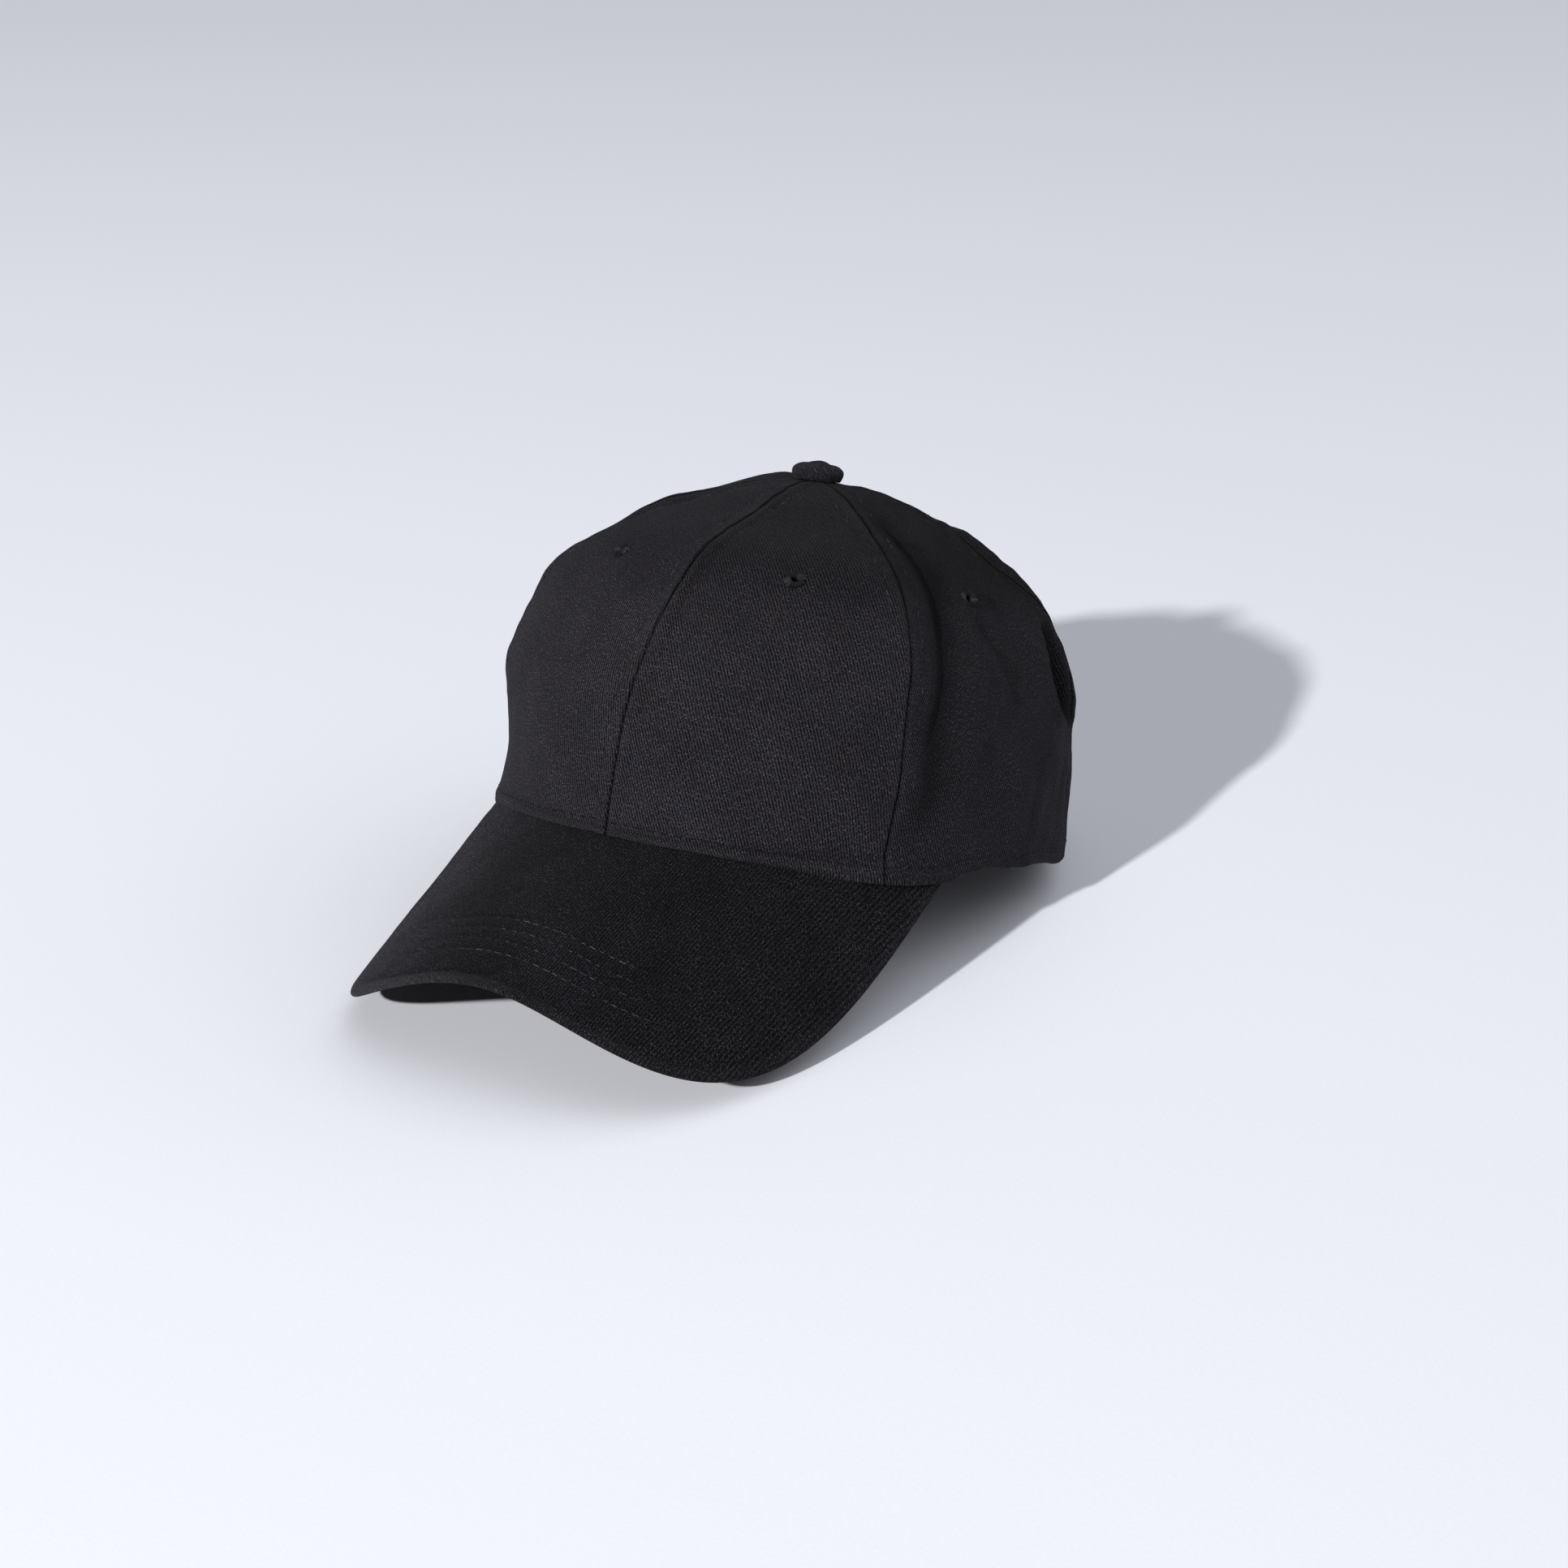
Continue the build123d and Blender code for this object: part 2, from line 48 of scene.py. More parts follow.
# The cap is worked out as worn, in millimetres: the rim lies flat, the visor points to -Y and
# the wearer's left is +X.  place() then stands it in the frame, in metres.
# Angles go round the button: 0 is the front seam, 180 the back seam, plus is the wearer's left.
# A turn of 90 is the rim and 0 is the button.
crown = {
    "headRadius": 87.0,
    "frontReach": 111.0,
    "height": 105.0,
    "buttonForward": 12.5,
    "seams": (0.0, 53.0, 120.0, 180.0),
    "shoulderPower": (1.87, 2.03, 2.45, 2.2),  # one per seam, 2 is an ellipse
    "fullnessPower": (2.65, 3.6, 2.9, 2.2),  # one per seam, higher stands up straighter
    "goreFlatness": 0.45,
    "goreStart": 0.25,
    "goreRun": 0.5,
    "peak": 2.8,  # the middle of the top is drawn up towards the button by this much
    "peakRadius": 40.0,
    "hole": 2.6,  # left open round the button's shank
    "cloth": 1.0,
    "seamAllowance": 3.0,
    "sewnGap": 0.2,
    "openingHalfWidth": 55.0,
    "openingHeight": 58.0,
    "cornerDrop": (-2.3, 115, 11),  # the back left corner of the rim hangs down: rise, angle, reach
    "cornerHeight": 18,
}
visor = {
    "slope": 37.5,
    "arch": 95.0,
    "rise": 1.0,
    "endInset": 8.0,
    "length": 116.0,
    "power": 3.3,
    "thickness": 3.2,
    "cloth": 0.7,
    "around": 200,  # faces along the outer edge
    "across": 104,  # faces from near the outer edge in to the crown
    "edgeSteps": (0, 0.06, 0.2, 0.45, 0.8, 1.2, 1.7, 2.3),
    "boardInset": 1.25,
    "boardThickness": 1.2,
    "edgeThinner": 0.6,  # the pressed edge is thinner than the middle
    "edgeWidth": 14,
    "bend": (1.9, -15, 30),  # bent up a little right of its middle: rise, where, reach
    "bendRun": (1, 112, 45),  # and how far out this starts
    "droop": (-1.6, -66, 17),  # its right corner hangs lower
    "droopRun": (1, 60, 75),
    "rowInsets": (10.0, 13.7, 17.4, 21.0),  # rows of stitching, in from the outer edge
    "rowDip": 0.28,
    "rowWidth": 0.55,
    "edgeDip": (-0.3, 2.6, 0.6),
    "waves": ((0.16, 26, 41), (0.05, 7, 42)),  # rise, size and seed
    "pucker": 0.06,
    "puckerSize": 4.5,
    "puckerReach": 2.5,
    "underShare": 0.7,  # the underside is this much as uneven as the top
    "weaveStretch": 1.2,
    # The outer edge is paler: partly real wear, partly painted highlight, strongest towards the wearer's
    # right.
    "edgeWear": 0.6,
    "edgeWearTo": (1, 1.5, 0.9),
    "wearAndHighlightAcross": (0.8, -12, 45),
    # Painted shade over the visor, fading out at its right end (the wearer's right), which stays pale as if
    # lit.
    "darkening": (0.64, -64, 46),
}
headRadius = crown["headRadius"]
frontReach = crown["frontReach"]
seams = np.array(crown["seams"])
visorHalf = headRadius - visor["endInset"]
attachY = -frontReach * sqrt(1 - (visorHalf / headRadius) ** 2)
attachAngle = degrees(atan2(visorHalf, -attachY - crown["buttonForward"]))
openingAngle = 180 - degrees(asin(crown["openingHalfWidth"] / headRadius))
backSeam = 179.9  # the wall is worked out up to just short of 180


def jointNamed(name):
    joints = frame["record"]["behaviour"]["joints"]
    return [joint for joint in joints if joint["name"] == name][0]


drawHeight = 0.0165  # the strap's joint is this far up the cap's axis, in metres
capUp = -Vector(jointNamed("strap_draw")["axis"]).normalized()
capOrigin = Vector(jointNamed("strap_draw")["pos_m"]) - capUp * drawHeight
capAxes = np.array([Vector((1, 0, 0)), capUp.cross(Vector((1, 0, 0))), capUp])


def place(points):
    return np.asarray(points) @ capAxes * 0.001 + np.array(capOrigin)


def ease(value):
    clipped = np.clip(value, 0.0, 1.0)
    return clipped * clipped * (3 - 2 * clipped)


def hump(distance, width):
    return np.exp(-((distance / width) ** 2))


def lobe(value, shape):
    # A soft rise round a middle.
    rise, middle, reach = shape
    return rise * hump(value - middle, reach)


def ramp(value, shape):
    # A soft step up.
    rise, start, run = shape
    return rise * ease((value - start) / run)


def lengthAlong(spots):
    # How far each spot of a line lies from the first, along the line.
    return np.concatenate([[0], np.cumsum(np.linalg.norm(np.diff(spots, axis=0), axis=1))])


def weaveOf(across, up):
    # Where each spot lies on its cloth, for the weave of its finish.
    across, up = np.broadcast_arrays(across, up)
    return np.stack([across, up, 0 * across], -1)


bothSides = (("Left", 1), ("Right", -1))
crownMiddle = np.array([0, -crown["buttonForward"], 20.0])  # outward is away from here

def softNoise(u, v, size, seed):
    # Smooth unevenness, about -1 to 1, with waves about as long as size.
    dice = random.Random(seed)
    total = np.zeros_like(u + v)
    for wave in range(7):
        way = dice.uniform(0, tau)
        length = size * dice.uniform(0.7, 1.5)
        total = total + np.sin((u * cos(way) + v * sin(way)) * tau / length + dice.uniform(0, tau))
    return total / 3.5


def noises(u, v, waves):
    # waves are each (rise, size, seed).
    return sum(rise * softNoise(u, v, size, seed) for rise, size, seed in waves)


def goreOf(turn):
    return (turn >= seams[1]).astype(int) + (turn >= seams[2]).astype(int)


def byAngle(values, angle):
    turn = np.abs(angle)
    start = goreOf(turn)
    share = ease((turn - seams[start]) / (seams[start + 1] - seams[start]))
    table = np.array(values)
    return table[start] * (1 - share) + table[start + 1] * share


def rimRadius(angle):
    across = np.sin(np.radians(angle))
    along = np.cos(np.radians(angle))
    found = []
    for reach in (frontReach, headRadius):
        a = (across / headRadius) ** 2 + (along / reach) ** 2
        b = 2 * crown["buttonForward"] * along / reach**2
        c = (crown["buttonForward"] / reach) ** 2 - 1
        found.append((-b + np.sqrt(b * b - 4 * a * c)) / (2 * a))
    return np.where(crown["buttonForward"] + found[0] * along > 0, found[0], found[1])


def visorLevel(x, y, depth=0.0):
    slope = radians(visor["slope"])
    drop = visor["arch"] - np.sqrt((visor["arch"] - depth) ** 2 - x**2)
    run = (drop * sin(slope) - y - frontReach) / cos(slope)
    return visor["rise"] - run * sin(slope) - drop * cos(slope)


def rimLevel(angle, depth):
    turn = np.minimum(np.abs(angle), attachAngle)
    radius = rimRadius(turn) - np.clip(depth, 0, crown["seamAllowance"])
    across = radius * np.sin(np.radians(turn))
    level = visorLevel(across, -crown["buttonForward"] - radius * np.cos(np.radians(turn)))
    return level * (1 - ease((np.abs(angle) - attachAngle) / (seams[2] - attachAngle)))


def wallRadius(angle, level):
    turn = np.abs(angle)
    start = goreOf(turn)
    power = np.array(crown["shoulderPower"])

    def smooth(at, shoulder):
        return rimRadius(at) * (1 - level ** byAngle(crown["fullnessPower"], at)) ** (1 / shoulder)

    first, last = seams[start], seams[start + 1]
    full = smooth(turn, byAngle(crown["shoulderPower"], turn))
    near = smooth(first, power[start])
    end = smooth(np.minimum(last, 179.999), power[start + 1])
    spread = near * np.sin(np.radians(turn - first)) + end * np.sin(np.radians(last - turn))
    flat = near * end * np.sin(np.radians(last - first)) / np.maximum(spread, 1e-6)
    share = crown["goreFlatness"] * ease((level - crown["goreStart"]) / crown["goreRun"])
    return full * (1 - share) + flat * share


def wallSpot(angle, turn, depth=0.0, seat=None):
    # Radius and height of a spot in the crown's wall, at a depth in from its outside.
    power = byAngle(crown["fullnessPower"], angle)
    base = rimLevel(angle, depth if seat is None else seat) + crown["sewnGap"]
    spots = []
    for near in (turn + 0.05, turn, turn - 0.05):
        level = np.minimum(np.abs(np.cos(np.radians(near))) ** (2 / power), 0.99999)
        radius = wallRadius(angle, level)
        peak = crown["peak"] * (1 - ease(radius / crown["peakRadius"]))
        spots.append((radius, base + level * (crown["height"] - base) + peak))
    slope = np.arctan2(spots[2][1] - spots[0][1], spots[2][0] - spots[0][0])
    return spots[1][0] - depth * np.sin(slope), spots[1][1] + depth * np.cos(slope)


# Sewing and wear have pulled the seams a little off their true lines: degrees, height and reach.
seamPull = {
    "left": (1.7, 76, 24),
    "leftFoot": (-1.3, 3, 15),
    "right": (0.8, 60, 24),
    "frontSpread": 17,
    "backLeft": (5.5, 40, 9),
    "backLeftLow": (4.0, 53, 9),
    "backLeftHigh": (-2.4, 75, 7),
    "backRight": (2.5, 60, 20),
    "backSpread": 15,
    "towardsButton": (14.5, 93, 11),  # the back left seam runs further forward here
    "towardsButtonSpread": 32,
    "towardsButtonFade": 25,
}


def seamSway(angle, height):
    left = lobe(height, seamPull["left"]) + lobe(height, seamPull["leftFoot"])
    right = lobe(height, seamPull["right"])
    backLeft = ramp(height, seamPull["backLeft"]) + lobe(height, seamPull["backLeftLow"])
    backLeft = backLeft + lobe(height, seamPull["backLeftHigh"])
    backRight = lobe(height, seamPull["backRight"])
    front, back = seamPull["frontSpread"], seamPull["backSpread"]
    sway = left * hump(angle - seams[1], front) - right * hump(angle + seams[1], front)
    return sway - backLeft * hump(angle - seams[2], back) + backRight * hump(angle + seams[2], back)


def wallPoint(angle, turn, depth=0.0, seat=None):
    # Near the button the seam is shifted along the wall, which keeps its shape.
    height = wallSpot(angle, turn, depth, seat)[1]
    shift = lobe(height, seamPull["towardsButton"]) * hump(angle - seams[2], seamPull["towardsButtonSpread"])
    angle = angle - shift * ease((180 - angle) / seamPull["towardsButtonFade"])
    radius, height = wallSpot(angle, turn, depth, seat)
    around = np.radians(angle + seamSway(angle, height))
    height = height + lobe(angle, crown["cornerDrop"]) * (1 - ease(height / crown["cornerHeight"]))
    along = -crown["buttonForward"] - radius * np.cos(around)
    return np.stack([radius * np.sin(around), along, height], -1)


def turnAtHeight(angle, height):
    return np.degrees(np.arccos((height / crown["height"]) ** (byAngle(crown["fullnessPower"], angle) / 2)))


def turnAtRadius(angle, radius):
    share = radius / rimRadius(angle)
    return np.degrees(np.arcsin(share ** (byAngle(crown["shoulderPower"], angle) / 2)))


def backSpot(x, height):
    # Angle and turn of the spot behind that stands at x and height, for x of 0 or more.
    base = crown["sewnGap"]
    level = np.clip((height - base) / (crown["height"] - base), 0, 1)
    angle = 180 - np.degrees(np.arcsin(np.clip(x / headRadius, 0, 1)))
    for step in range(12):
        angle = 180 - np.degrees(np.arcsin(np.clip(x / wallRadius(angle, level), 0, 0.999)))
    power = byAngle(crown["fullnessPower"], angle)
    return angle, np.degrees(np.arccos(level ** (power / 2)))


# How the cloth lies: seams, puckers, folds and dents.  Plus is outward.
seamLook = {
    "roll": 0.75,  # how deep the cloth turns in at a seam
    "rollWidth": 0.75,
    "ridge": (0.16, 2.2, 1.8),  # the turned allowance lifts the cloth beside the seam
    "stitchOffset": 4.8,  # topstitching, each side of the seam
    "stitchDip": (-0.16, 4.8, 0.55),
    "pucker": (0.14, 3.5, 6.0),
    "puckerSize": 6.5,
    "puckerStretch": 0.6,
    "nextSeam": 40,  # sets the unevenness of one seam apart from that of the next
    "topFade": 14,
}
unevenness = ((46, 21, 0.25, 0.55), (17, 22, 0.06, 0.16))  # size, seed, height at the front, and more behind
# Where the crown stands fuller or lies flatter: rise, where, reach, by height unless named otherwise.
swell = {
    "frontEnd": 56,
    "frontFade": 10,
    "kink": (0.8, 84, 5.0),  # the stiff backing ends below the front eyelets
    "flatAbove": (-1.6, 97, 6.0),
    "right": (4.3, -60, 30),  # by angle
    "rightStart": (1, 22, 22),
    "rightEnd": (1, 88, 18),
    "rightTop": (0.5, -60, 40),  # by angle
    "rightTopHeight": (1, 97, 8),
    "byButton": (2.6, 22, 15),  # by distance from the button
    "byButtonStart": (1, 9, 6),
    "byButtonAngle": (1, -112, 42),
    "backLeft": (1.6, 64, 11),
    "backLeftAbove": (0.3, 64, 10),
    "backLeftFoot": (-0.6, 20, 9),
    "backLeftAngle": (1, 112, 26),
    "visorEnd": (2.6, 0, 3.6),  # the crown's edge is pushed out over the ends of the visor
    "visorEndAngle": (1, 57, 13),
    "drawnIn": (-1.7, 16, 9),  # and drawn in just above on the right
    "drawnInAngle": (1, -46, 17),
    "fade": 25,
    "unevenFade": 30,
}
# Each fold runs through spots of (angle, height).  widths are its two flanks.
folds = [
    {"name": "valley beside the front side seam, left", "widths": (3.4, 6.5), "rise": -2.9,
     "path": ((76, 104), (67, 96), (66, 88), (64.5, 77), (63.5, 66),
              (62, 52), (60.5, 40), (59.5, 26), (57.5, 6))},
    {"name": "swell behind it, left", "widths": (7, 12), "rise": 0.9,
     "path": ((77, 90), (75, 70), (72, 45), (70, 20))},
    {"name": "crease below the side eyelet, left", "widths": (3.0, 4.5), "rise": -0.8,
     "path": ((78, 77), (82, 68), (86, 57), (88, 48))},
    {"name": "slanting ridge, left", "widths": (4.0, 3.0), "rise": 1.3,
     "path": ((98, 74), (101, 65), (108, 50), (113, 38))},
    {"name": "pocket by the back side seam, left", "widths": (5.0, 3.2), "rise": -3.2,
     "path": ((113, 76), (115, 62), (117, 50), (120, 38))},
    {"name": "low crease, left", "widths": (4.5, 6.0), "rise": -0.6, "path": ((78, 44), (76, 28), (75, 8))},
    {"name": "second low crease, left", "widths": (5.0, 7.0), "rise": -0.6,
     "path": ((92, 38), (93, 22), (92, 6))},
    {"name": "tucked back edge, left", "widths": (6, 6), "rise": -1.1,
     "path": ((104, 28), (114, 20), (126, 18))},
    {"name": "dent beside the front seam", "widths": (1.6, 3.2), "rise": -1.1,
     "path": ((2.0, 88), (2.6, 80), (2.4, 70), (2.2, 62))},
    {"name": "valley beside the front side seam, right", "widths": (5.5, 3.4), "rise": -1.2,
     "path": ((-76, 96), (-75, 80), (-74, 62), (-72, 40), (-70, 18))},
    {"name": "swell behind it, right", "widths": (12, 8), "rise": 0.6,
     "path": ((-84, 88), (-82, 50), (-80, 22))},
    {"name": "crease, right", "widths": (4.0, 2.4), "rise": -1.5, "path": ((-84, 84), (-88, 66), (-95, 50))},
    {"name": "slanting ridge, right", "widths": (4.5, 4.5), "rise": 1.4,
     "path": ((-101, 74), (-104, 56), (-108, 40))},
    {"name": "pocket, right", "widths": (5.0, 6.0), "rise": -2.6,
     "path": ((-112, 62), (-114, 50), (-117, 36))},
    {"name": "low crease, right", "widths": (5.0, 3.5), "rise": -0.9, "path": ((-82, 40), (-80, 10))},
    {"name": "fold down the back, left", "widths": (5.0, 6.0), "rise": -1.3,
     "path": ((137, 88), (134, 72), (130, 58))},
    {"name": "fold down the back, right", "widths": (6.0, 5.0), "rise": -1.1,
     "path": ((-133, 90), (-137, 76), (-135, 62))},
]


def foldRise(fold, angle, radius, height, lowFade=0.34):
    # Height of one fold, fading out towards its two ends.
    spots = np.array(fold["path"], float)
    best = np.full(np.shape(angle + height), 1e9)
    share = np.zeros_like(best)
    flank = np.ones_like(best)
    pieces = len(spots) - 1
    for piece in range(pieces):
        startAcross = np.radians(spots[piece, 0] - angle) * radius
        startUp = spots[piece, 1] - height
        alongAcross = np.radians(spots[piece + 1, 0] - spots[piece, 0]) * radius
        alongUp = spots[piece + 1, 1] - spots[piece, 1]
        square = alongAcross**2 + alongUp**2
        t = np.clip(-(startAcross * alongAcross + startUp * alongUp) / np.maximum(square, 1e-9), 0, 1)
        away = np.hypot(startAcross + t * alongAcross, startUp + t * alongUp)
        nearer = away < best
        best = np.where(nearer, away, best)
        share = np.where(nearer, (piece + t) / pieces, share)
        side = (startAcross * alongUp - startUp * alongAcross) / np.sqrt(square)
        lean = 0.5 + 0.5 * np.tanh(side / 0.8)
        flank = np.where(nearer, fold["widths"][0] * (1 - lean) + fold["widths"][1] * lean, flank)
    fade = ease(share / 0.2) * ease((1 - share) / lowFade)
    return fold["rise"] * hump(best, flank) * fade


def seamDistance(angle, radius):
    # Distance from the nearest seam, round the wall, and which seam it is.
    away = np.full(np.shape(angle), 1e9)
    nearest = np.zeros(np.shape(angle), int)
    for index, seam in enumerate((0, 53, -53, 120, -120, 180, -180)):
        here = np.abs(np.radians(angle - seam)) * radius
        nearest = np.where(here < away, index, nearest)
        away = np.minimum(here, away)
    return away, nearest


def wallRelief(angle, turn):
    # How far the outside of the crown stands off its smooth shape.
    radius, height = wallSpot(angle, turn)
    away, nearest = seamDistance(angle, radius)
    along = height - 0.8 * radius
    reach = ease(radius / seamLook["topFade"])
    relief = -seamLook["roll"] * np.clip(1 - away / seamLook["rollWidth"], 0, 1) ** 2
    relief = relief + (lobe(away, seamLook["ridge"]) + lobe(away, seamLook["stitchDip"])) * reach
    besides = away * seamLook["puckerStretch"] + nearest * seamLook["nextSeam"]
    ruffle = softNoise(along, besides, seamLook["puckerSize"], 11)
    relief = relief + ruffle * lobe(away, seamLook["pucker"]) * reach
    front = ease((swell["frontEnd"] - np.abs(angle)) / swell["frontFade"])
    across = np.radians(angle) * radius
    for size, seed, atFront, behind in unevenness:
        rise = (atFront + behind * (1 - front)) * ease(radius / swell["unevenFade"])
        relief = relief + softNoise(across, along, size, seed) * rise
    fade = ease(radius / swell["fade"])
    relief = relief + front * (lobe(height, swell["kink"]) + lobe(height, swell["flatAbove"])) * fade
    fuller = lobe(angle, swell["right"]) * ramp(height, swell["rightStart"])
    relief = relief + fuller * ease((swell["rightEnd"][1] - height) / swell["rightEnd"][2])
    relief = relief + lobe(angle, swell["rightTop"]) * lobe(height, swell["rightTopHeight"])
    byButton = lobe(radius, swell["byButton"]) * ramp(radius, swell["byButtonStart"])
    relief = relief + byButton * lobe(angle, swell["byButtonAngle"])
    backLeft = lobe(height, swell["backLeft"]) + ramp(height, swell["backLeftAbove"])
    backLeft = backLeft + lobe(height, swell["backLeftFoot"])
    relief = relief + backLeft * lobe(angle, swell["backLeftAngle"]) * fade
    above = height - rimLevel(angle, 0.0)
    relief = relief + lobe(above, swell["visorEnd"]) * lobe(np.abs(angle), swell["visorEndAngle"])
    relief = relief + lobe(above, swell["drawnIn"]) * lobe(angle, swell["drawnInAngle"])
    for fold in folds:
        relief = relief + foldRise(fold, angle, radius, height)
    return relief


def outside(angle, turn, depth=0.0):
    # A spot on the finished outside of the crown, or at a depth below it, and the way out from it.
    relief = wallRelief(angle, turn)
    spot = wallPoint(angle, turn, depth - relief)
    out = spot - wallPoint(angle, turn, depth - relief + 1)
    return spot, out / np.linalg.norm(out, axis=-1, keepdims=True)


def gridFaces(rows, columns, start=0, wrapRows=False, wrapColumns=False):
    faces = []
    for row in range(rows if wrapRows else rows - 1):
        here, above = row * columns, (row + 1) % rows * columns
        for column in range(columns if wrapColumns else columns - 1):
            beside = (column + 1) % columns
            corners = (here + column, here + beside, above + beside, above + column)
            faces.append([start + corner for corner in corners])
    return faces


def makePiece(name, points, faces, marks=None, body="crown", finish=None, slotName=None):
    # A mesh piece from points as worn.  marks are values kept on each point, for its finish.
    mesh = bpy.data.meshes.new(name)
    mesh.from_pydata(place(points).tolist(), [], faces)
    for markName, values in (marks or {}).items():
        values = np.asarray(values, float)
        kind = "FLOAT_VECTOR" if values.ndim == 2 else "FLOAT"
        field = "vector" if values.ndim == 2 else "value"
        mesh.attributes.new(markName, kind, "POINT").data.foreach_set(field, values.ravel())
    shape = bmesh.new()
    shape.from_mesh(mesh)
    bmesh.ops.recalc_face_normals(shape, faces=shape.faces)
    shape.to_mesh(mesh)
    shape.free()
    mesh.polygons.foreach_set("use_smooth", [True] * len(mesh.polygons))
    piece = bpy.data.objects.new(name, mesh)
    bpy.context.scene.collection.objects.link(piece)
    if finish:
        mesh.materials.append(finish)
    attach(piece, body)
    return piece


def clothShell(grid, weave, thickness, outward):
    # Closes a grid of points into cloth of that thickness, with a rounded edge.
    rows, columns = grid.shape[:2]
    downRows = np.gradient(grid, axis=0)
    acrossColumns = np.gradient(grid, axis=1)
    normal = np.cross(downRows, acrossColumns)
    normal = normal / np.maximum(np.linalg.norm(normal, axis=-1, keepdims=True), 1e-9)
    if (normal * outward).sum() < 0:
        normal = -normal
    inner = grid - normal * thickness
    count = rows * columns
    loop = [(0, c, 1, c) for c in range(columns)]
    loop += [(r, columns - 1, r, columns - 2) for r in range(1, rows)]
    loop += [(rows - 1, c, rows - 2, c) for c in range(columns - 2, -1, -1)]
    loop += [(r, 0, r, 1) for r in range(rows - 2, 0, -1)]
    rim = []
    for r, c, besideRow, besideColumn in loop:
        away = grid[r, c] - grid[besideRow, besideColumn]
        away = away / max(np.linalg.norm(away), 1e-6)
        rim.append((grid[r, c] + inner[r, c]) / 2 + away * thickness * 0.4)
    points = np.concatenate([grid.reshape(-1, 3), inner.reshape(-1, 3), np.array(rim)])
    faces = gridFaces(rows, columns) + gridFaces(rows, columns, count)
    edge = [r * columns + c for r, c, besideRow, besideColumn in loop]
    for step in range(len(edge)):
        following = (step + 1) % len(edge)
        low, high = 2 * count + step, 2 * count + following
        faces.append([edge[step], edge[following], high, low])
        faces.append([low, high, count + edge[following], count + edge[step]])
    flat = weave.reshape(-1, 3)
    return points, faces, np.concatenate([flat, flat, flat[edge]])


def sewShell(name, node, grid, weave, thickness, outward, finish, slotName, body="crown"):
    # A plain piece of cloth from a grid of points, in place of a solid.
    points, faces, weave = clothShell(grid, weave, thickness, outward)
    piece = makePiece(name, points, faces, {"weave": weave}, body, finish, slotName)
    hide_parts(node)


# Finishes
class finishDesk:
    # Adds maths and texture nodes to a finish, or to the sky, in short lines.
    def __init__(self, owner):
        owner.use_nodes = True
        self.nodes = owner.node_tree.nodes
        self.links = owner.node_tree.links

    def add(self, kind, **settings):
        node = self.nodes.new(kind)
        for key, value in settings.items():
            setattr(node, key, value)
        return node

    def fill(self, node, values):
        for key, value in values.items():
            if hasattr(value, "is_output"):
                self.links.new(value, node.inputs[key])
            else:
                node.inputs[key].default_value = value
        return node

    def mark(self, name, output="Fac"):
        return self.add("ShaderNodeAttribute", attribute_name=name).outputs[output]

    def objectSpot(self):
        return self.add("ShaderNodeTexCoord").outputs["Object"]

    def maths(self, operation, first, second=0.0, third=0.0):
        node = self.add("ShaderNodeMath", operation=operation)
        return self.fill(node, {0: first, 1: second, 2: third}).outputs[0]

    def times(self, first, second):
        return self.maths("MULTIPLY", first, second)

    def plus(self, first, second):
        return self.maths("ADD", first, second)

    def stretch(self, value, low, high, toLow=0.0, toHigh=1.0):
        values = {"Value": value, "From Min": low, "From Max": high, "To Min": toLow, "To Max": toHigh}
        return self.fill(self.add("ShaderNodeMapRange"), values).outputs["Result"]

    def wave(self, turn):
        return self.stretch(self.maths("SINE", turn), -1.0, 1.0)

    def blendColours(self, share, first, second, blend="MIX"):
        node = self.add("ShaderNodeMix", data_type="RGBA", blend_type=blend)
        return self.fill(node, {0: share, 6: first, 7: second}).outputs[2]

    def tinted(self, colour, tint):
        return self.blendColours(1.0, colour, tint, "MULTIPLY")

    def noise(self, vector, scale, detail=2.0, roughness=0.5):
        values = {"Vector": vector, "Scale": scale, "Detail": detail, "Roughness": roughness}
        return self.fill(self.add("ShaderNodeTexNoise"), values).outputs["Fac"]

    def scaled(self, vector, factors, turned=0.0):
        values = {"Vector": vector, "Scale": factors, "Rotation": (0.0, 0.0, turned)}
        return self.fill(self.add("ShaderNodeMapping"), values).outputs["Vector"]

    def grain(self, vector, look, turned=0.0):
        # look is how fine it is across and up, its detail and its roughness.
        across, up, detail, roughness = look
        return self.noise(self.scaled(vector, (across, up, 1.0), turned), 1.0, detail, roughness)

    def bumps(self, height, distance, strength=1.0):
        values = {"Height": height, "Distance": distance, "Strength": strength}
        return self.fill(self.add("ShaderNodeBump"), values).outputs["Normal"]


def newFinish(name):
    finish = bpy.data.materials.new(name)
    desk = finishDesk(finish)
    return finish, desk, desk.nodes["Principled BSDF"]


